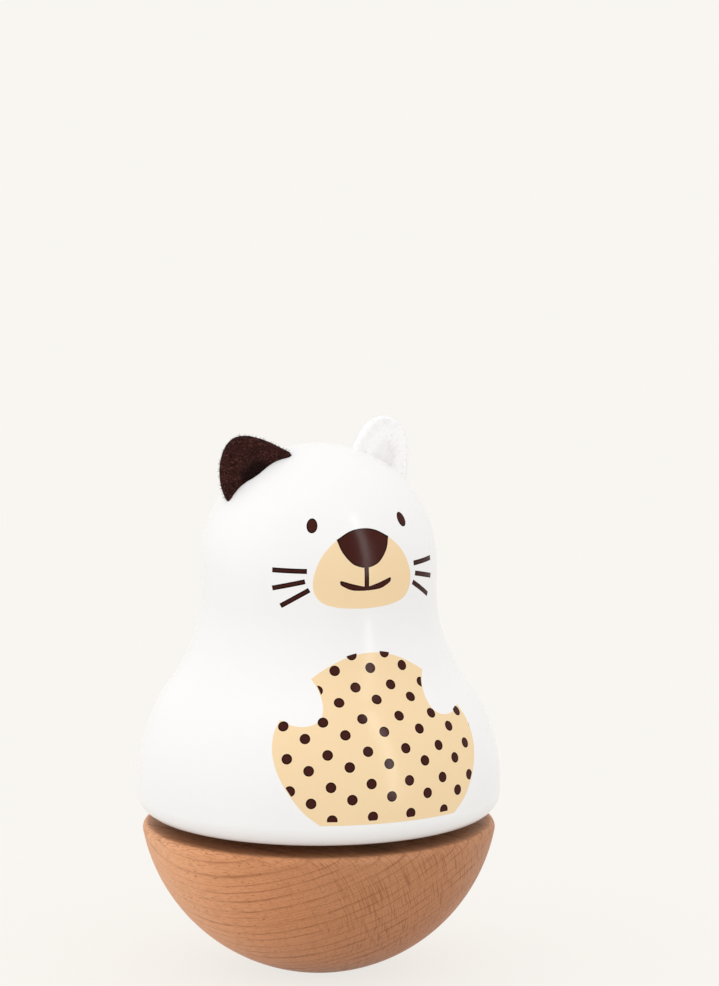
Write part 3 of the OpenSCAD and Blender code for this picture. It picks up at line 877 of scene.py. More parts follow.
BEECH_GROWTH = (-0.542, -0.228, 0.951)
BEECH_FIBRE = (0.392, -0.911, 0.106)
SLOT_FINISHES: dict[str, Finish] = {
    "white_lacquer": Lacquer("white_lacquer", (0.90, 0.893, 0.887), 0.17, shade=(0.885, 0.879, 0.877)),
    "beech": Timber("oiled_beech", (0.768, 0.346, 0.163), 0.45, dark=(0.235, 0.078, 0.027),
                    pale=(0.83, 0.46, 0.262), fibre=BEECH_FIBRE, growth=BEECH_GROWTH),
    "plywood": Timber("sanded_plywood", (0.60, 0.43, 0.25), 0.6, dark=(0.36, 0.22, 0.11),
                      pale=(0.70, 0.54, 0.35), layers=900.0, bow=0.4),
    # The felts' fold colours are painted shade
    "brown_felt": Felt("brown_felt", (0.056, 0.0175, 0.0148), 0.85, deep=(0.016, 0.006, 0.0052),
                       hair=(0.13, 0.05, 0.042), fold=(0.007, 0.0028, 0.0022), sheen=0.03, gloss=0.04),
    "white_felt": Felt("white_felt", (0.985, 0.97, 0.973), 0.9, deep=(0.965, 0.948, 0.952),
                       hair=(0.985, 0.975, 0.975), fold=(0.87, 0.845, 0.85), sheen=0.4, relief=0.00005,
                       fold_shade_reach=0.002),
    "nylon": Moulding("moulded_nylon", (0.78, 0.77, 0.70), 0.45, scuff=(0.86, 0.85, 0.80)),
    "weight_steel": Metal("blackened_steel", (0.10, 0.10, 0.105), 0.5, stain=(0.06, 0.045, 0.04),
                          bright=(0.4, 0.4, 0.41), lines=2500.0),
    "steel": Metal("bright_steel", (0.62, 0.62, 0.63), 0.26, stain=(0.48, 0.47, 0.46)),
    "spring_steel": Metal("blued_steel", (0.13, 0.16, 0.24), 0.3, stain=(0.16, 0.14, 0.17),
                          bright=(0.5, 0.52, 0.56)),
    "zinc": Metal("cast_zinc", (0.50, 0.50, 0.49), 0.48, stain=(0.38, 0.38, 0.38), lines=1200.0),
    "brass": Metal("turned_brass", (0.66, 0.42, 0.14), 0.28, stain=(0.44, 0.26, 0.09),
                   bright=(0.85, 0.63, 0.30)),
}
CREAM_INK = Lacquer("cream_ink", (0.90, 0.685, 0.42), 0.17, shade=(0.89, 0.67, 0.41))
BROWN_INK = Lacquer("brown_ink", (0.048, 0.009, 0.006), 0.17, shade=(0.055, 0.011, 0.008),
                    edge=(0.008, 0.0015, 0.001))


# Meshes

def new_piece(name: str, points: Sequence[Vector], faces: Sequence[Sequence[int]],
              materials: Sequence[bpy.types.Material]) -> bpy.types.Object:
    """Makes a smooth-shaded mesh object in the scene.

    Args:
        name: Name of the piece.
        points: Corners in millimetres.
        faces: Corner numbers of each face.
        materials: Materials of the piece.

    Returns:
        The new object.
    """
    mesh = bpy.data.meshes.new(name)
    mesh.from_pydata([tuple(MM * c for c in p) for p in points], [], faces)
    for material in materials:
        mesh.materials.append(material)
    mesh.polygons.foreach_set("use_smooth", [True] * len(mesh.polygons))
    mesh.update()
    piece = bpy.data.objects.new(name, mesh)
    bpy.context.scene.collection.objects.link(piece)
    return piece


def attach(piece: bpy.types.Object, body: str) -> None:
    """Sets a piece on a body of the frame and logs it.

    Args:
        piece: The piece.
        body: Body that it rides on.
    """
    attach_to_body(piece, body)
    LOG.info("%s: %d faces, rides on %s", piece.name, len(piece.data.polygons), body)


def store(piece: bpy.types.Object, name: str, values: Sequence[float]) -> None:
    """Stores a value for each corner of a piece, for its material to read."""
    piece.data.attributes.new(name, "FLOAT", "POINT").data.foreach_set("value", values)


def around(loop: Sequence[Any]) -> Iterator[tuple[Any, Any]]:
    """Returns each member of a closed loop with the next one."""
    return zip(loop, [*loop[1:], loop[0]])


def arc(centre: Point, radius: float, start: float, end: float, steps: int) -> list[Point]:
    """Returns points along an arc in the plane of radius and height, with angles in degrees."""
    turns = [math.radians(start + (end - start) * i / steps) for i in range(steps + 1)]
    return [(centre[0] + radius * math.cos(a), centre[1] + radius * math.sin(a)) for a in turns]


def lathe(outline: Sequence[Point], segments: int) -> tuple[list[Vector], list[list[int]]]:
    """Turns an outline about the Z axis.

    Args:
        outline: Radius and height of each point, with the solid on the left of its run. One that starts
            off the axis is closed by its own first point.
        segments: Faces round the axis.

    Returns:
        The corners, and the faces with their outer side away from the solid.
    """
    points: list[Vector] = []
    rings: list[list[int]] = []
    for radius, height in outline:
        count = segments if radius > TINY else 1
        first = len(points)
        for i in range(count):
            turn = 2 * math.pi * i / segments
            points.append(Vector((radius * math.sin(turn), -radius * math.cos(turn), height)))
        rings.append([first + i % count for i in range(segments)])
    pairs = list(zip(rings, rings[1:]))
    if outline[0][0] > TINY:
        pairs.append((rings[-1], rings[0]))
    faces = []
    for low, high in pairs:
        for i in range(segments):
            j = (i + 1) % segments
            face = list(dict.fromkeys([low[i], low[j], high[j], high[i]]))
            if len(face) > 2:
                faces.append(face)
    return points, faces


def inside(point: Point, outline: Sequence[Point]) -> bool:
    """Tests whether a point lies inside a closed outline.

    Args:
        point: The point.
        outline: Corners of the outline.

    Returns:
        True where it lies inside.
    """
    x, y = point
    crossings = 0
    for (ax, ay), (bx, by) in around(outline):
        if (ay > y) != (by > y) and x < ax + (y - ay) * (bx - ax) / (by - ay):
            crossings += 1
    return crossings % 2 == 1


def curve(points: Sequence[Point], steps: int = 6) -> list[Point]:
    """Draws a smooth open curve through points, both ends included.

    Args:
        points: Points that the curve passes.
        steps: Pieces between two points.

    Returns:
        The points of the curve.
    """
    before = tuple(2 * a - b for a, b in zip(points[0], points[1]))
    after = tuple(2 * a - b for a, b in zip(points[-1], points[-2]))
    known = [before, *points, after]
    drawn = []
    for p, q, r, s in zip(known, known[1:], known[2:], known[3:]):
        for i in range(steps):
            t = i / steps
            drawn.append(tuple(
                b + 0.5 * t * (c - a + t * (2 * a - 5 * b + 4 * c - d + t * (3 * (b - c) + d - a)))
                for a, b, c, d in zip(p, q, r, s)
            ))
    drawn.append(tuple(points[-1]))
    return drawn


def divided(loop: Sequence[Point], step: float) -> list[Point]:
    """Adds points along a closed outline.

    Args:
        loop: Corners of the outline.
        step: Longest distance between two points.

    Returns:
        The outline with its added points.
    """
    found = []
    for (ax, ay), (bx, by) in around(loop):
        count = max(1, math.ceil(math.hypot(bx - ax, by - ay) / step))
        found += [(ax + (bx - ax) * i / count, ay + (by - ay) * i / count) for i in range(count)]
    return found


def edge_distance(point: Vector, ring: Sequence[Vector]) -> float:
    """Measures a flat point's distance from a closed outline.

    Args:
        point: The point.
        ring: Corners of the outline.

    Returns:
        The distance to the nearest edge.
    """
    best = math.inf
    for a, b in around(ring):
        run = b - a
        t = max(0.0, min(1.0, (point - a).dot(run) / max(run.length_squared, TINY * TINY)))
        best = min(best, (point - a - t * run).length)
    return best


def loop_edges(first: int, count: int) -> list[tuple[int, int]]:
    """Returns the edges that join a run of corner numbers into a closed loop."""
    return [(first + i, first + (i + 1) % count) for i in range(count)]


def triangles(corners: Sequence[Vector],
              edges: Sequence[tuple[int, int]]) -> tuple[list[Vector], list[tuple[list[int], Point]]]:
    """Divides a flat area into triangles that keep the given edges.

    Args:
        corners: Flat points.
        edges: Corner numbers of each edge.

    Returns:
        The points, and the point numbers and middle of each triangle.
    """
    spots, _, cells, *_ = delaunay_2d_cdt(corners, edges, [], 0, MERGE)
    found = []
    for cell in cells:
        middle = sum((spots[i] for i in cell), Vector((0.0, 0.0))) / len(cell)
        found.append((list(cell), (middle.x, middle.y)))
    return list(spots), found


def mirrored(points: Sequence[Point]) -> list[Point]:
    """Returns a run of points on the other side of the face, in the order that carries on round."""
    return [(-a, z) for a, z in reversed(points)]


def joined(*runs: Sequence[Point]) -> list[Point]:
    """Joins runs that share their end points into one closed outline."""
    return [p for run in runs for p in run[:-1]]


# Figure

@dataclass(frozen=True)
class FigureProfile:
    """Outer outline of the turned figure."""

    belly_rad: float = 45.0
    head_rad: float = 29.2
    neck_r: float = 36.5
    belly_r: float = 43.5
    neck_len: float = 7.4
    belly_side: float = 2.3
    foot_r: float = 5.1
    z_body: float = 39.7
    foot_steps: int = 16
    belly_steps: int = 40
    neck_steps: int = 36
    dome_steps: int = 72

    @property
    def flank(self) -> float:
        """Angle in degrees at which the belly's curve meets the neck's."""
        return math.degrees(math.acos(1 - (self.belly_rad - self.head_rad) / (self.neck_r + self.belly_r)))

    @property
    def z_belly(self) -> float:
        """Height of the widest place."""
        return self.z_body + self.foot_r + self.belly_side

    @property
    def z_neck(self) -> float:
        """Height where the neck's curve ends."""
        return self.z_belly + (self.neck_r + self.belly_r) * math.sin(math.radians(self.flank))

    @property
    def z_head(self) -> float:
        """Height of the dome's centre."""
        return self.z_neck + self.neck_len

    @property
    def z_top(self) -> float:
        """Height of the crown."""
        return self.z_head + self.head_rad

    def side(self, z: float) -> tuple[float, Point]:
        """Finds the surface at a height.

        Args:
            z: Height.

        Returns:
            The radius there, and the outward normal as its radial and upward parts.
        """
        z_flank = self.z_belly + self.belly_r * math.sin(math.radians(self.flank))
        if z >= self.z_head:
            up = min(1.0, (z - self.z_head) / self.head_rad)
            return self.head_rad * math.sqrt(1 - up * up), (math.sqrt(1 - up * up), up)
        if z >= self.z_neck:
            return self.head_rad, (1.0, 0.0)
        if z >= z_flank:
            up = (self.z_neck - z) / self.neck_r
            out = math.sqrt(1 - up * up)
            return self.head_rad + self.neck_r * (1 - out), (out, up)
        if z >= self.z_belly:
            up = (z - self.z_belly) / self.belly_r
            out = math.sqrt(1 - up * up)
            return self.belly_rad - self.belly_r * (1 - out), (out, up)
        if z >= self.z_body + self.foot_r:
            return self.belly_rad, (1.0, 0.0)
        up = max(-1.0, (z - self.z_body - self.foot_r) / self.foot_r)
        out = math.sqrt(1 - up * up)
        return self.belly_rad - self.foot_r * (1 - out), (out, up)

    def normal(self, angle: float, z: float) -> Vector:
        """Finds the outward normal.

        Args:
            angle: Angle from the middle of the face, in degrees.
            z: Height.

        Returns:
            The normal.
        """
        _, (out, up) = self.side(z)
        a = math.radians(angle)
        return Vector((out * math.sin(a), -out * math.cos(a), up))

    def point(self, angle: float, z: float, lift: float = 0.0) -> Vector:
        """Places a point on the surface.

        Args:
            angle: Angle from the middle of the face, in degrees.
            z: Height.
            lift: Distance above the surface.

        Returns:
            The point.
        """
        radius, _ = self.side(z)
        a = math.radians(angle)
        return Vector((radius * math.sin(a), -radius * math.cos(a), z)) + lift * self.normal(angle, z)

    def oval(self, middle: Point, size: Point, corners: int) -> list[Point]:
        """Draws an oval on the curved surface.

        Args:
            middle: Angle from the middle of the face, in degrees, and height.
            size: Width and height along the surface.
            corners: Points of the outline.

        Returns:
            The outline as angles and heights.
        """
        angle, z = middle
        radius, (out, _) = self.side(z)
        wide, tall = size
        turns = [2 * math.pi * i / corners for i in range(corners)]
        return [
            (angle + math.degrees(wide / 2 * math.cos(t) / radius), z + tall / 2 * out * math.sin(t))
            for t in turns
        ]

    def outline(self) -> list[Point]:
        """Draws the outline from the foot up to the crown.

        Returns:
            Radius and height of each point.
        """
        foot = (self.belly_rad - self.foot_r, self.z_body + self.foot_r)
        belly = (self.belly_rad - self.belly_r, self.z_belly)
        neck = (self.head_rad + self.neck_r, self.z_neck)
        return [
            *arc(foot, self.foot_r, -90, 0, self.foot_steps),
            *arc(belly, self.belly_r, 0, self.flank, self.belly_steps),
            *arc(neck, self.neck_r, 180 + self.flank, 180, self.neck_steps)[1:],
            *arc((0.0, self.z_head), self.head_rad, 0, 90, self.dome_steps),
        ]


class Ink(Enum):
    """Colours of the print, in the order of the film's materials."""

    CREAM = 0
    BROWN = 1


@dataclass(frozen=True)
class Shape:
    """One printed shape with its closed outline."""

    ink: Ink
    outline: list[Point]
    slack: float = 0.05

    def limits(self) -> tuple[float, float, float, float]:
        """Finds the outline's limits.

        Returns:
            The lowest and then the highest coordinates.
        """
        xs = [p[0] for p in self.outline]
        ys = [p[1] for p in self.outline]
        return min(xs), min(ys), max(xs), max(ys)

    def spans(self, point: Point) -> bool:
        """Returns whether a point lies within the outline's limits."""
        x0, y0, x1, y1 = self.limits()
        return x0 <= point[0] <= x1 and y0 <= point[1] <= y1

    def covers(self, point: Point) -> bool:
        """Returns whether a point lies inside the outline."""
        return self.spans(point) and inside(point, self.outline)

    def inset(self, gap: float) -> list[Point]:
        """Finds points inside the outline, along its edge.

        Args:
            gap: Distance from the edge.

        Returns:
            The points.
        """
        ring = [Vector(p) for p in self.outline]
        least = gap * (1 - self.slack)
        found = []
        for a, b in around(ring):
            across = gap * Vector((a.y - b.y, b.x - a.x)).normalized()
            for spot in ((a + b) / 2 + across, (a + b) / 2 - across):
                if self.covers((spot.x, spot.y)) and edge_distance(spot, ring) > least:
                    found.append((spot.x, spot.y))
        return found


@dataclass(frozen=True)
class PrintedFilm:
    """A thin printed film that lies on the figure's surface."""

    name: str
    shapes: list[Shape]
    profile: FigureProfile
    radius: float
    cut: Optional[list[Point]] = None
    edging: float = 0.4
    touch: float = 0.001
    grid: float = 0.9
    lift: float = 0.02
    sink: float = 0.02

    def flat(self, point: Point) -> Point:
        """Returns a point's place on the flattened print, in millimetres."""
        return math.radians(point[0]) * self.radius, point[1]

    def flat_shape(self, ink: Ink, outline: Sequence[Point]) -> Shape:
        """Returns a shape on the flattened print, with closely spaced points."""
        return Shape(ink, divided([self.flat(p) for p in outline], self.grid))

    def ink_at(self, point: Point, shapes: Sequence[Shape], cuts: Sequence[Shape]) -> Optional[Ink]:
        """Finds the last ink that covers a point of the flattened print.

        Args:
            point: The point.
            shapes: Flattened shapes in the order of printing.
            cuts: Outlines that trim the brown ink.

        Returns:
            The ink, or None where the print is bare.
        """
        covering = [shape.ink for shape in shapes if shape.covers(point)]
        if not all(cut.covers(point) for cut in cuts):
            covering = [ink for ink in covering if ink is Ink.CREAM]
        return covering[-1] if covering else None

    def edge_share(self, spot: Vector, shapes: Sequence[Shape]) -> float:
        """Measures how much of the brown ink's dark edge a flat point has.

        Args:
            spot: The point.
            shapes: Flattened shapes.

        Returns:
            The share, from 0 to 1.
        """
        point = (spot.x, spot.y)
        near = [s for s in shapes if s.ink is Ink.BROWN and s.spans(point)]
        reach = [(s.covers(point), edge_distance(spot, [Vector(p) for p in s.outline])) for s in near]
        depth = max((d for covered, d in reach if covered or d < self.touch), default=self.edging)
        return max(0.0, 1 - depth / self.edging)

    def build(self, materials: Sequence[bpy.types.Material]) -> bpy.types.Object:
        """Builds the film as a closed mesh.

        Args:
            materials: Material of each ink.

        Returns:
            The film's object.
        """
        shapes = [self.flat_shape(shape.ink, shape.outline) for shape in self.shapes]
        cuts = [self.flat_shape(Ink.BROWN, self.cut)] if self.cut else []
        corners: list[Point] = []
        edges: list[tuple[int, int]] = []
        for shape in [*shapes, *cuts]:
            edges += loop_edges(len(corners), len(shape.outline))
            corners += shape.outline
        for shape in shapes:
            corners += shape.inset(self.edging) if shape.ink is Ink.BROWN else []
        corners += self.grid_points(shapes)
        spots, cells = triangles([Vector(c) for c in corners], edges)
        inks = [(cell, self.ink_at(middle, shapes, cuts)) for cell, middle in cells]
        kept = [(cell, ink) for cell, ink in inks if ink is not None]
        return self.thicken(spots, kept, [self.edge_share(s, shapes) for s in spots], materials)

    def grid_points(self, shapes: Sequence[Shape]) -> list[Point]:
        """Spaces points evenly inside the shapes, so that the film follows the surface.

        Args:
            shapes: Flattened shapes.

        Returns:
            The points.
        """
        limits = [shape.limits() for shape in shapes]
        left = min(b[0] for b in limits)
        low = min(b[1] for b in limits)
        columns = int((max(b[2] for b in limits) - left) / self.grid)
        rows = int((max(b[3] for b in limits) - low) / self.grid)
        found = []
        for j in range(rows):
            shift = 0.5 * self.grid * (j % 2)
            for i in range(columns + 1):
                point = (left + i * self.grid + shift, low + (j + 0.5) * self.grid)
                if any(shape.covers(point) for shape in shapes):
                    found.append(point)
        return found

    def thicken(self, spots: Sequence[Vector], kept: Sequence[tuple[list[int], Ink]],
                edging: Sequence[float], materials: Sequence[bpy.types.Material]) -> bpy.types.Object:
        """Gives the flat cells an upper and a lower face and closes their rim.

        Args:
            spots: Points of the flattened print.
            kept: Corners and ink of each cell.
            edging: Share of the ink's dark edge at each point.
            materials: Material of each ink.

        Returns:
            The film's object, with the surface's own normals.
        """
        used = sorted({i for cell, _ in kept for i in cell})
        place = {spot: k for k, spot in enumerate(used)}
        angles = [math.degrees(spots[i].x / self.radius) for i in used]
        heights = [spots[i].y for i in used]
        top = [self.profile.point(a, z, self.lift) for a, z in zip(angles, heights)]
        low = [self.profile.point(a, z, -self.sink) for a, z in zip(angles, heights)]
        count = len(used)
        rim: dict[tuple[int, int], Ink] = {}
        faces, inks = [], []
        for cell, ink in kept:
            face = [place[i] for i in cell]
            faces += [face, [count + i for i in reversed(face)]]
            inks += [ink, ink]
            for a, b in around(face):
                if rim.pop((b, a), None) is None:
                    rim[(a, b)] = ink
        for (a, b), ink in rim.items():
            faces.append([b, a, count + a, count + b])
            inks.append(ink)
        piece = new_piece(self.name, [*top, *low], faces, materials)
        piece.data.polygons.foreach_set("material_index", [ink.value for ink in inks])
        store(piece, EDGING, 2 * [edging[i] for i in used])
        outward = [self.profile.normal(a, z) for a, z in zip(angles, heights)]
        normals = []
        for polygon in piece.data.polygons:
            if polygon.index < 2 * len(kept):
                sign = 1 if polygon.index % 2 == 0 else -1
                normals += [sign * outward[v % count] for v in polygon.vertices]
            else:
                normals += [polygon.normal.copy() for _ in polygon.vertices]
        piece.data.normals_split_custom_set(normals)
        return piece


@dataclass(frozen=True)
class BellyPrint:
    """Cream belly patch with round paws cut out of it and staggered brown dots."""

    top: tuple[Point, ...] = ((0.0, 84.7), (3.5, 84.6), (10.2, 83.9), (16.9, 82.5), (22.6, 80.75),
                              (26.8, 79.15))
    paw: tuple[Point, ...] = ((26.8, 79.15), (24.3, 77.2), (22.6, 75.0), (21.95, 72.6), (22.7, 70.6),
                              (25.2, 69.2), (29.2, 68.65), (33.9, 69.0), (37.7, 70.0))
    side: tuple[Point, ...] = ((37.7, 70.0), (39.2, 66.9), (39.1, 62.95), (37.45, 59.0), (34.7, 55.1),
                               (31.4, 51.5), (27.8, 48.35), (23.2, 45.6))
    dot_d: float = 2.6
    dot_corners: int = 28
    column: float = 5.0
    columns: int = 6
    shift: float = -0.3
    even_rows: tuple[float, ...] = (81.2, 74.1, 67.0, 59.7, 52.0)
    odd_rows: tuple[float, ...] = (84.5, 77.1, 70.2, 62.9, 55.4, 47.5)
    droop: float = 0.0024
    narrowing: float = 0.00019
    wide_z: float = 58.0
    slip: float = 0.4
    dot_floor: float = 46.5
    radius: float = 40.0

    def patch(self) -> list[Point]:
        """Draws the patch.

        Returns:
            Its outline.
        """
        top = curve([*mirrored(self.top), *self.top[1:]])
        paw = curve(self.paw)
        side = curve(self.side)
        foot = [self.side[-1], mirrored(self.side)[0]]
        return joined(top, paw, side, foot, mirrored(side), mirrored(paw))

    def dot(self, profile: FigureProfile, along: float, row: float) -> list[Point]:
        """Draws one dot that is round on the curved surface.

        Args:
            profile: The surface.
            along: Distance from the middle, round the figure.
            row: Height of the dot's row at the middle.

        Returns:
            The dot's outline.
        """
        z = row - self.droop * along * along
        middle = along * (1 - self.narrowing * max(0.0, z - self.wide_z) ** 2)
        angle = math.degrees(middle / profile.side(z)[0])
        return profile.oval((angle, z), (self.dot_d, self.dot_d), self.dot_corners)

    def film(self, profile: FigureProfile) -> PrintedFilm:
        """Lays out the patch and its dots.

        Args:
            profile: The surface that it lies on.

        Returns:
            The film.
        """
        patch = self.patch()
        dots = []
        for c in range(-self.columns, self.columns + 1):
            for row in (self.odd_rows if c % 2 else self.even_rows):
                dots.append(Shape(Ink.BROWN, self.dot(profile, self.shift + c * self.column, row)))
        cut = [(angle, max(self.dot_floor, z + self.slip)) for angle, z in patch]
        return PrintedFilm("belly_print", [Shape(Ink.CREAM, patch), *dots], profile, self.radius, cut)


@dataclass(frozen=True)
class FacePrint:
    """Printed face: eyes, nose, muzzle, mouth and whiskers."""

    eye: Point = (27.05, 115.5)
    eye_size: Point = (2.66, 3.8)
    eye_corners: int = 32
    nose_top: tuple[Point, ...] = ((0.0, 114.6), (7.3, 114.05), (14.4, 112.25))
    nose_side: tuple[Point, ...] = ((14.4, 112.25), (11.9, 109.3), (7.3, 106.55), (2.8, 105.5), (0.0, 105.4))
    muzzle: tuple[Point, ...] = ((8.0, 113.2), (14.55, 112.0), (21.15, 108.9), (24.8, 105.3), (26.25, 102.1),
                                 (25.4, 99.3), (21.4, 97.0), (14.2, 95.9), (5.7, 95.5), (0.0, 95.4))
    lip_top: tuple[Point, ...] = ((0.0, 100.75), (1.6, 100.8), (7.1, 101.55), (12.4, 102.4), (13.2, 102.3))
    lip_low: tuple[Point, ...] = ((13.2, 102.3), (13.3, 101.9), (12.4, 101.2), (7.65, 100.05), (1.5, 99.75),
                                  (0.0, 99.8))
    groove: Point = (106.0, 100.2)
    groove_w: float = 1.2
    whiskers: tuple[tuple[Point, Point], ...] = (
        ((29.1, 104.85), (46.2, 104.9)), ((30.0, 102.35), (46.1, 100.45)), ((28.0, 100.3), (41.9, 96.2)),
    )
    whisker_w: float = 1.2
    radius: float = 29.2

    def bar(self, start: Point, end: Point, width: float) -> list[Point]:
        """Draws a straight bar with square ends on the face.

        Args:
            start: Middle of one end.
            end: Middle of the other end.
            width: Width of the bar.

        Returns:
            The bar's outline.
        """
        unit = math.radians(1) * self.radius
        a = Vector((start[0] * unit, start[1]))
        b = Vector((end[0] * unit, end[1]))
        side = (b - a).orthogonal().normalized() * width / 2
        return [(p.x / unit, p.y) for p in (a + side, b + side, b - side, a - side)]

    def symmetric(self, upper: Sequence[Point], lower: Sequence[Point]) -> list[Point]:
        """Completes an outline from its right half.

        Args:
            upper: Points from the middle to the side, above.
            lower: Points from the side to the middle, below.

        Returns:
            The closed outline.
        """
        top = curve([*mirrored(upper), *upper[1:]])
        low = curve([*lower, *mirrored(lower)[1:]])
        return joined(top, low)

    def film(self, profile: FigureProfile) -> PrintedFilm:
        """Lays out the whole face.

        Args:
            profile: The surface that it lies on.

        Returns:
            The film.
        """
        shapes = [
            Shape(Ink.CREAM, joined(curve([*self.muzzle, *mirrored(self.muzzle)[1:]]),
                                    [mirrored(self.muzzle)[-1], self.muzzle[0]])),
            Shape(Ink.BROWN, self.symmetric(self.nose_top, self.nose_side)),
            Shape(Ink.BROWN, self.symmetric(self.lip_top, self.lip_low)),
            Shape(Ink.BROWN, self.bar((0.0, self.groove[0]), (0.0, self.groove[1]), self.groove_w)),
        ]
        for side in (-1, 1):
            eye = (side * self.eye[0], self.eye[1])
            shapes.append(Shape(Ink.BROWN, profile.oval(eye, self.eye_size, self.eye_corners)))
            for start, end in self.whiskers:
                bar = self.bar((side * start[0], start[1]), (side * end[0], end[1]), self.whisker_w)
                shapes.append(Shape(Ink.BROWN, bar))
        return PrintedFilm("face_print", shapes, profile, self.radius)


class EarSide(Enum):
    """Side of the head that an ear sits on, by the sign of X."""

    BROWN = -1
    WHITE = 1


@dataclass(frozen=True)
class Ear:
    """Cupped felt ear, cut from a flat sheet and glued in a groove of the head."""

    side: EarSide
    slot: str
    spread: float
    height: float
    width: float = 19.3
    thickness: float = 2.0
    cup_r: float = 26.0
    lean: float = 10.0
    yaw: float = 12.5
    steps: int = 20
    root: float = 4.0
    seat: float = 1.2
    grid: float = 0.55
    edge_clear: float = 0.35
    edge_round: float = 0.9
    lump: float = 0.10
    lump_scales: Span = (0.9, 2.3)
    small_lump: float = 0.6
    lump_seed: float = 10.0
    fuzz: int = 2600
    fuzz_seed: int = 7
    fuzz_len: Span = (0.3, 0.95)
    fuzz_r: float = 0.04
    fuzz_root: float = 0.1
    fuzz_clear: float = 0.15
    fuzz_lean: float = 0.7
    fuzz_bend: float = 0.35
    fuzz_least: float = 0.12
    fuzz_steps: int = 3
    fuzz_sides: int = 3
    fuzz_taper: float = 0.7
    inner_share: float = 1.0
    inner_powers: Span = (2.0, 1.0)
    outer_powers: Span = (2.0, 1.0)
    lip: float = 0.0
    lip_half: float = 4.5
    lip_rows: Span = (1.5, 5.0)

    @property
    def node(self) -> str:
        """Name of the frame's node that the ear stands for."""
        return f"ear_{self.side.name.lower()}"

    @property
    def flat_width(self) -> float:
        """Width of the flat cut where both of its sides are alike."""
        return 2 * self.cup_r * math.asin(self.width / 2 / self.cup_r)

    @property
    def cut_width(self) -> float:
        """Width of the flat cut, with its inner side's own share."""
        inner = self.inner_share * self.width / 2
        return self.flat_width / 2 + self.cup_r * math.asin(inner / self.cup_r)

    def placing(self, profile: FigureProfile) -> Matrix:
        """Finds where an upright ear goes on the head.

        Args:
            profile: The head that it sits on.

        Returns:
            The matrix that sets it there.
        """
        mirror = Matrix.Diagonal((self.side.value, 1.0, 1.0, 1.0))
        turn = Matrix.Rotation(math.radians(self.side.value * self.spread), 4, "Y")
        back = Matrix.Rotation(math.radians(-self.lean), 4, "X")
        face = Matrix.Rotation(math.radians(self.side.value * self.yaw), 4, "Z")
        foot = Matrix.Translation((0.0, 0.0, profile.head_rad - self.seat))
        return Matrix.Translation((0.0, 0.0, profile.z_head)) @ turn @ foot @ face @ back @ mirror

    def rise(self, share: float, powers: Span) -> float:
        """Returns the cut's height at a share of its half width, by the two powers of its curve."""
        return self.height * max(0.0, 1 - share ** powers[0]) ** (1 / powers[1])

    def outline(self) -> list[Point]:
        """Draws the flat cut.

        Returns:
            Its outline as distance from the middle and height.
        """
        outer = self.width / 2
        inner = self.inner_share * outer
        shares = [math.sin(0.5 * math.pi * i / self.steps) for i in range(self.steps + 1)]
        ring = [(outer, -self.root), (-inner, -self.root)]
        ring += [(-inner * t, self.rise(t, self.inner_powers)) for t in reversed(shares)]
        ring += [(outer * t, self.rise(t, self.outer_powers)) for t in shares[1:]]
        flat = [(self.cup_r * math.asin(x / self.cup_r), z) for x, z in ring]
        return divided(flat, self.grid)

    def cells(self) -> tuple[list[Vector], list[list[int]], list[float]]:
        """Divides the flat cut into triangles.

        Returns:
            The points, the triangles, and each point's distance from the cut edge.
        """
        outline = self.outline()
        ring = [Vector(p) for p in outline]
        clear = self.edge_clear * self.grid
        columns = int(self.flat_width / self.grid) + 1
        rows = int((self.height + self.root) / self.grid) + 1
        filling = []
        for i in range(columns):
            for j in range(rows):
                x = -self.flat_width / 2 + i * self.grid + 0.5 * self.grid * (j % 2)
                p = Vector((x, -self.root + (j + 0.5) * self.grid))
                if inside((p.x, p.y), outline) and edge_distance(p, ring) > clear:
                    filling.append(p)
        spots, found = triangles([*ring, *filling], loop_edges(0, len(ring)))
        kept = [cell for cell, middle in found if inside(middle, outline)]
        return spots, kept, [edge_distance(p, ring) for p in spots]

    def fold(self, spot: Vector) -> float:
        """Measures how much of the pinched fold at the foot a flat point has.

        Args:
            spot: The point.

        Returns:
            The share, from 0 to 1.
        """
        low, high = self.lip_rows
        share = max(0.0, min(1.0, (high - spot.y) / (high - low)))
        return math.exp(-(spot.x / self.lip_half) ** 2) * share * share * (3 - 2 * share)

    def bent(self, spot: Vector, offset: float) -> Vector:
        """Bends a flat point to the upright cupped ear.

        Args:
            spot: The point.
            offset: Distance behind the middle of the felt.

        Returns:
            Its place.
        """
        turn = spot.x / self.cup_r
        reach = self.cup_r + offset
        return Vector((reach * math.sin(turn), reach * math.cos(turn) - self.cup_r, spot.y))

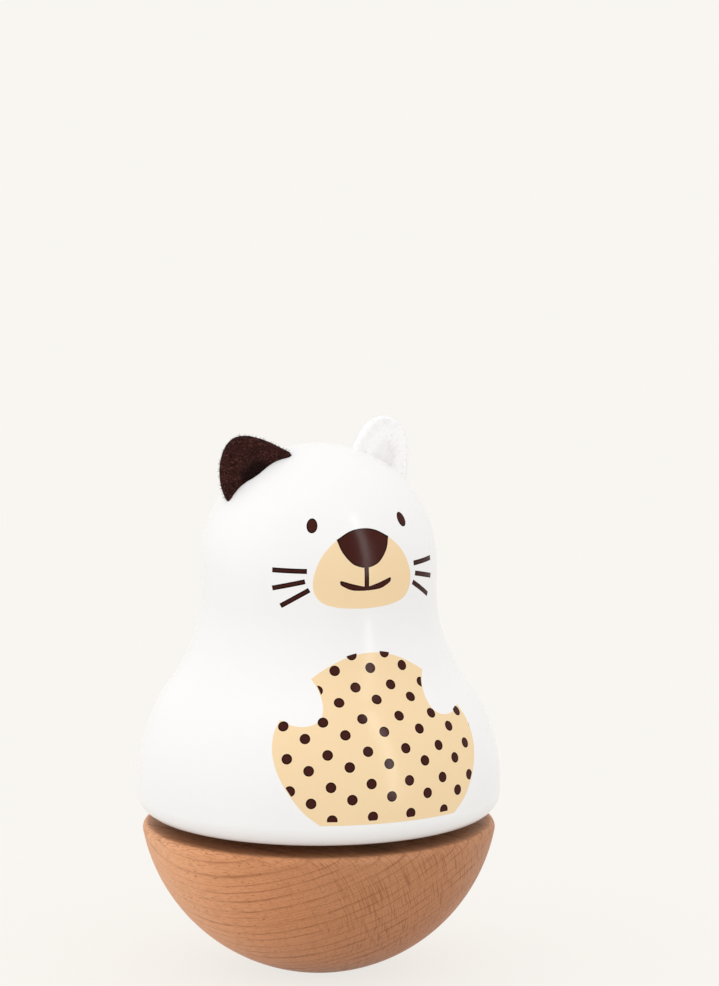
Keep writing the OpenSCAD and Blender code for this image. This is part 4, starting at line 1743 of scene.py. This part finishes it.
    def build(self, profile: FigureProfile, material: bpy.types.Material) -> bpy.types.Object:
        """Builds the felt as a closed, slightly lumpy sheet with rounded edges.

        Args:
            profile: The head that it sits on.
            material: The felt.

        Returns:
            The ear's object.
        """
        spots, cells, depth = self.cells()
        place = self.placing(profile)
        round_r = self.edge_round * self.thickness / 2
        broad, fine = self.lump_scales
        points: list[Vector] = []
        folds: list[float] = []
        front: list[int] = []
        back: list[int] = []
        for spot, d in zip(spots, depth):
            share = min(1.0, d / round_r)
            half = self.thickness / 2 * math.sqrt(1 - (1 - share) ** 2)
            seed = Vector((spot.x, spot.y, self.lump_seed * self.side.value))
            wave = self.lump * (noise.noise(broad * seed) + self.small_lump * noise.noise(fine * seed))
            fold = self.fold(spot) if self.lip else 0.0
            if d < TINY:
                front.append(len(points))
                back.append(len(points))
                points.append(place @ self.bent(spot, wave))
                folds.append(fold)
                continue
            front.append(len(points))
            points.append(place @ self.bent(spot, wave - half - self.lip * fold))
            back.append(len(points))
            points.append(place @ self.bent(spot, wave + half))
            folds += [fold, 0.0]
        faces = []
        for cell in cells:
            forward = [front[i] for i in cell]
            behind = [back[i] for i in reversed(cell)]
            if self.side is EarSide.WHITE:
                faces += [forward, behind]
            else:
                faces += [forward[::-1], behind[::-1]]
        felt = new_piece(f"{self.node}_felt", points, faces, [material])
        # The fold share also paints shade on the felt through its material
        store(felt, FOLD, folds)
        return felt

    def build_fuzz(self, felt: bpy.types.Object, profile: FigureProfile,
                   material: bpy.types.Material) -> bpy.types.Object:
        """Builds the stray hairs that stand out of the felt.

        Args:
            felt: The ear's felt.
            profile: The head, which hides the felt's root.
            material: The felt.

        Returns:
            The hairs' object.
        """
        draw = random.Random(self.fuzz_seed + self.side.value)
        mesh = felt.data
        bare = [p for p in mesh.polygons if self.outside(p.center / MM, profile)]
        sizes = [p.area for p in bare]
        points: list[Vector] = []
        faces: list[list[int]] = []
        for polygon in draw.choices(bare, sizes, k=self.fuzz):
            shares = [draw.random() for _ in polygon.vertices]
            total = sum(shares)
            corners = [mesh.vertices[v].co for v in polygon.vertices]
            root = sum((corner * (s / total) for corner, s in zip(corners, shares)), Vector()) / MM
            lean = Vector([draw.gauss(0.0, self.fuzz_lean) for _ in range(3)])
            way = (polygon.normal + lean).normalized()
            if way.dot(polygon.normal) < self.fuzz_least:
                continue
            bend = Vector([draw.gauss(0.0, self.fuzz_bend) for _ in range(3)])
            length = draw.uniform(*self.fuzz_len)
            self.add_hair(points, faces, root - self.fuzz_root * way, way, bend, length)
        return new_piece(f"{self.node}_fuzz", points, faces, [material])

    def outside(self, point: Vector, profile: FigureProfile) -> bool:
        """Returns whether a point stands clear of the head."""
        return (point - Vector((0.0, 0.0, profile.z_head))).length > profile.head_rad + self.fuzz_clear

    def add_hair(self, points: list[Vector], faces: list[list[int]], root: Vector, way: Vector, bend: Vector,
                 length: float) -> None:
        """Adds one closed, tapering hair to a mesh under construction.

        Args:
            points: Corners so far.
            faces: Faces so far.
            root: Where the hair starts.
            way: Direction at the root.
            bend: How far the direction changes towards the tip.
            length: Length of the hair.
        """
        first = len(points)
        steps, sides = self.fuzz_steps, self.fuzz_sides
        at = root.copy()
        for i in range(steps + 1):
            share = i / steps
            here = (way + share * bend).normalized()
            across = here.orthogonal().normalized()
            up = here.cross(across)
            radius = self.fuzz_r * (1 - self.fuzz_taper * share)
            for k in range(sides):
                turn = 2 * math.pi * k / sides
                points.append(at + radius * (math.cos(turn) * across + math.sin(turn) * up))
            at = at + here * length / steps
        for i in range(steps):
            for a, b in loop_edges(first + sides * i, sides):
                faces.append([a, b, b + sides, a + sides])
        faces.append([first + k for k in reversed(range(sides))])
        faces.append([first + sides * steps + k for k in range(sides)])


EARS = (
    Ear(EarSide.BROWN, "brown_felt", spread=36.0, height=10.8, outer_powers=(1.8, 1.5), lip=2.4),
    Ear(EarSide.WHITE, "white_felt", spread=33.0, height=12.1, lump=0.04, fuzz=900, fuzz_r=0.03,
        inner_share=0.96, inner_powers=(2.0, 2.6), outer_powers=(2.6, 1.0), lip=2.2, lip_half=4.0,
        lip_rows=(1.0, 11.0)),
)


@dataclass
class Figure:
    """The twisting figure: lacquered shell, print and felt ears."""

    materials: dict[str, bpy.types.Material]
    profile: FigureProfile = FigureProfile()
    body: str = "figure"
    segments: int = 288
    z_shelf: float = 44.7
    cavity_rad: float = 33.06
    z_cavity: float = 70.4
    head_bore_rad: float = 20.0
    dome_t: float = 19.0
    board_clear: float = 0.05

    def build(self) -> None:
        """Builds every piece of the figure and sets it on its body."""
        self.build_shell()
        inks = [CREAM_INK.material(), BROWN_INK.material()]
        for film in (BellyPrint().film(self.profile), FacePrint().film(self.profile)):
            attach(film.build(inks), self.body)
        for ear in EARS:
            self.build_ear(ear)

    def build_shell(self) -> None:
        """Builds the turned and lacquered shell with its stepped bore."""
        board_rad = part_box("mounting_board")[1].x / MM + self.board_clear
        z_dome = self.profile.z_top - self.dome_t
        bore = [
            (0.0, z_dome), (self.head_bore_rad, z_dome), (self.head_bore_rad, self.z_cavity),
            (self.cavity_rad, self.z_cavity), (self.cavity_rad, self.z_shelf), (board_rad, self.z_shelf),
            (board_rad, self.profile.z_body),
        ]
        outer = self.profile.outline()
        outer[-1] = (0.0, self.profile.z_top)
        points, faces = lathe([*outer, *bore], self.segments)
        shell = new_piece("lacquered_shell", points, faces, [self.materials["white_lacquer"]])
        shell.data.set_sharp_from_angle(angle=SHARP_EDGE)
        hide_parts("body_shell")
        attach(shell, self.body)

    def build_ear(self, ear: Ear) -> None:
        """Builds one felt ear with its stray hairs.

        Args:
            ear: The ear.
        """
        material = self.materials[ear.slot]
        felt = ear.build(self.profile, material)
        fuzz = ear.build_fuzz(felt, self.profile, material)
        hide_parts(ear.node)
        attach(felt, self.body)
        attach(fuzz, self.body)
        area = 0.5 * abs(sum(ax * by - bx * ay for (ax, ay), (bx, by) in around(ear.outline())))


# Base

@dataclass
class Base:
    """The turned beech base with its pocket for the weight."""

    materials: dict[str, bpy.types.Material]
    body: str = "base"
    ball_r: float = 44.5
    height: float = 37.0
    flat_d: float = 17.0
    edge_r: float = 1.5
    weight_floor: float = 10.0
    fit: float = 0.03
    ball_steps: int = 80
    edge_steps: int = 12
    segments: int = 240

    def outline(self) -> list[Point]:
        """Draws the outline from the standing flat up, over the edge and down into the pocket.

        Returns:
            Radius and height of each point.
        """
        flat_rad = self.flat_d / 2
        z_ball = math.sqrt(self.ball_r ** 2 - flat_rad ** 2)
        inner = self.ball_r - self.edge_r
        z_edge = self.height - self.edge_r
        r_edge = math.sqrt(inner ** 2 - (z_ball - z_edge) ** 2)
        low = -math.degrees(math.acos(flat_rad / self.ball_r))
        high = -math.degrees(math.asin((z_ball - z_edge) / inner))
        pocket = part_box("base_weight")[1].x / MM + self.fit
        return [
            (0.0, 0.0),
            *arc((0.0, z_ball), self.ball_r, low, high, self.ball_steps),
            *arc((r_edge, z_edge), self.edge_r, high, 90, self.edge_steps)[1:],
            (pocket, self.height),
            (pocket, self.weight_floor),
            (0.0, self.weight_floor),
        ]

    def build(self) -> None:
        """Builds the bowl and sets it on its body."""
        points, faces = lathe(self.outline(), self.segments)
        bowl = new_piece("turned_bowl", points, faces, [self.materials["beech"]])
        bowl.data.set_sharp_from_angle(angle=SHARP_EDGE)
        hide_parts("base_bowl")
        attach(bowl, self.body)


# Movement

@dataclass
class Movement:
    """The inner pieces, which keep the frame's own solids and get their finishes."""

    materials: dict[str, bpy.types.Material]
    frame: dict[str, Any]

    def dress(self) -> None:
        """Gives every solid of the frame the finish of its slot."""
        for part in self.frame["record"]["subparts"]:
            solid = self.frame["nodes"][part["node"]]
            material = self.materials[part["material_slot"]]
            if not solid.material_slots:
                solid.data.materials.append(material)
            for slot in solid.material_slots:
                slot.material = material
            LOG.info("%s: dressed in %s", part["node"], material.name)


# Studio

def heading(azimuth: float, elevation: float) -> Vector:
    """Finds a direction.

    Args:
        azimuth: Angle round the object from the face, in degrees.
        elevation: Angle above the floor, in degrees.

    Returns:
        The unit vector.
    """
    a = math.radians(azimuth)
    e = math.radians(elevation)
    return Vector((math.sin(a) * math.cos(e), -math.cos(a) * math.cos(e), math.sin(e)))


def set_up(name: str, data: bpy.types.ID, place: Vector, way: Vector) -> bpy.types.Object:
    """Sets up a camera or lamp that looks back along a direction.

    Args:
        name: Name of the object.
        data: The camera's or lamp's own data.
        place: Where it stands, in millimetres.
        way: Direction from its target to it.

    Returns:
        The new object.
    """
    item = bpy.data.objects.new(name, data)
    item.location = MM * place
    item.rotation_mode = "QUATERNION"
    item.rotation_quaternion = (-way).to_track_quat("-Z", "Y")
    bpy.context.scene.collection.objects.link(item)
    return item


@dataclass(frozen=True)
class Viewpoint:
    """Camera of the photograph: focal length in pixels of a picture of the given height."""

    focal_px: float = 5500.0
    picture_h: float = 986.0
    sensor: float = 36.0
    azimuth: float = -24.0
    pitch: float = 9.49
    distance: float = 1353.4
    aim_right: float = 10.1
    aim_height: float = 119.21

    def build(self) -> None:
        """Makes the camera and sets it as the scene's."""
        back = heading(self.azimuth, self.pitch)
        right = heading(self.azimuth + 90, 0.0)
        aim = self.aim_right * right + Vector((0.0, 0.0, self.aim_height))
        data = bpy.data.cameras.new("camera")
        data.sensor_width = self.sensor
        data.lens = self.focal_px * self.sensor / self.picture_h
        bpy.context.scene.camera = set_up("camera", data, aim + self.distance * back, back)


@dataclass(frozen=True)
class Softbox:
    """A rectangular lamp aimed at the object, with its brightness as seen from the front."""

    name: str
    azimuth: float
    elevation: float
    distance: float
    width: float
    tall: float
    brightness: float
    aim_height: float = 80.0
    lights: bool = True

    def build(self) -> None:
        """Makes the lamp."""
        way = heading(self.azimuth, self.elevation)
        data = bpy.data.lights.new(self.name, "AREA")
        data.shape = "RECTANGLE"
        data.size = MM * self.width
        data.size_y = MM * self.tall
        data.energy = self.brightness * math.pi * data.size * data.size_y
        place = Vector((0.0, 0.0, self.aim_height)) + self.distance * way
        set_up(self.name, data, place, way).visible_diffuse = self.lights


@dataclass
class Studio:
    """Pale floor, soft lamps and the camera."""

    page: Colour = (0.947, 0.922, 0.88)
    floor_tone: Colour = (0.85, 0.828, 0.79)
    bounce: Colour = (0.72, 0.705, 0.68)
    low_light: float = 1.15
    top_light: float = 1.05
    floor_rings: tuple[float, ...] = (0.0, 60.0, 160.0, 400.0, 1000.0, 3000.0, 9000.0)
    floor_segments: int = 96
    near: float = 50.0
    far: float = 320.0
    near_page: float = 0.82
    lamps: tuple[Softbox, ...] = (
        Softbox("key_softbox", azimuth=-88.0, elevation=22.0, distance=1300.0, width=1700.0, tall=1500.0,
                brightness=0.28),
        Softbox("strip_softbox", azimuth=24.0, elevation=19.0, distance=900.0, width=110.0, tall=1100.0,
                brightness=13.0, lights=False),
    )

    def build(self) -> None:
        """Builds the floor, the world, the lamps and the camera."""
        self.build_floor()
        self.build_world()
        for lamp in self.lamps:
            lamp.build()
        Viewpoint().build()
        bpy.context.scene.view_settings.view_transform = "Standard"

    def seen(self, graph: Graph) -> Socket:
        """Finds rays that show the backdrop: from the camera, a reflection or through glass.

        Args:
            graph: Graph of the material or world.

        Returns:
            A socket that is 1 for such rays.
        """
        rays = graph.add("ShaderNodeLightPath").outputs
        shown = graph.math("MAXIMUM", rays["Is Camera Ray"], rays["Is Glossy Ray"])
        return graph.math("MAXIMUM", shown, rays["Is Transmission Ray"])

    def build_floor(self) -> None:
        """Builds the floor, which keeps the shadow near the object and turns into the page far off."""
        points, downward = lathe([(radius, 0.0) for radius in self.floor_rings], self.floor_segments)
        faces = [face[::-1] for face in downward]
        material = bpy.data.materials.new("pale_floor")
        graph = blank_graph(material)
        where = graph.add("ShaderNodeTexCoord").outputs["Object"]
        away = graph.add("ShaderNodeVectorMath", {0: where}, operation="LENGTH").outputs["Value"]
        seen = self.seen(graph)
        tone = graph.mix(seen, self.bounce, self.floor_tone)
        matt = graph.add("ShaderNodeBsdfDiffuse", {"Color": tone}).outputs[0]
        page = graph.add("ShaderNodeEmission", {"Color": (*self.page, 1.0), "Strength": 1.0}).outputs[0]
        fade = graph.span(away, MM * self.near, MM * self.far, self.near_page, 1.0)
        fade = graph.math("MULTIPLY", seen, fade)
        surface = graph.add("ShaderNodeMixShader", {0: fade, 1: matt, 2: page}).outputs[0]
        graph.add("ShaderNodeOutputMaterial", {"Surface": surface})
        new_piece("floor", points, faces, [material])

    def build_world(self) -> None:
        """Builds the even light from all round, with the page's colour where it shows."""
        world = bpy.data.worlds.new("studio")
        graph = blank_graph(world)
        way = graph.add("ShaderNodeTexCoord").outputs["Generated"]
        height = graph.add("ShaderNodeSeparateXYZ", {0: way}).outputs["Z"]
        level = graph.span(height, 0.0, 1.0, self.low_light, self.top_light)
        light = graph.add("ShaderNodeBackground", {"Color": (1.0, 1.0, 1.0, 1.0), "Strength": level})
        page = graph.add("ShaderNodeBackground", {"Color": (*self.page, 1.0), "Strength": 1.0})
        values = {0: self.seen(graph), 1: light.outputs[0], 2: page.outputs[0]}
        graph.add("ShaderNodeOutputWorld", {"Surface": graph.add("ShaderNodeMixShader", values).outputs[0]})
        bpy.context.scene.world = world


def main() -> None:
    """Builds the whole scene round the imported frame."""
    logging.basicConfig(level=logging.INFO, format="%(name)s: %(message)s")
    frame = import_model()
    materials = {slot: finish.material() for slot, finish in SLOT_FINISHES.items()}
    Movement(materials, frame).dress()
    Base(materials).build()
    Figure(materials).build()
    Studio().build()


if __name__ == "__main__":
    main()
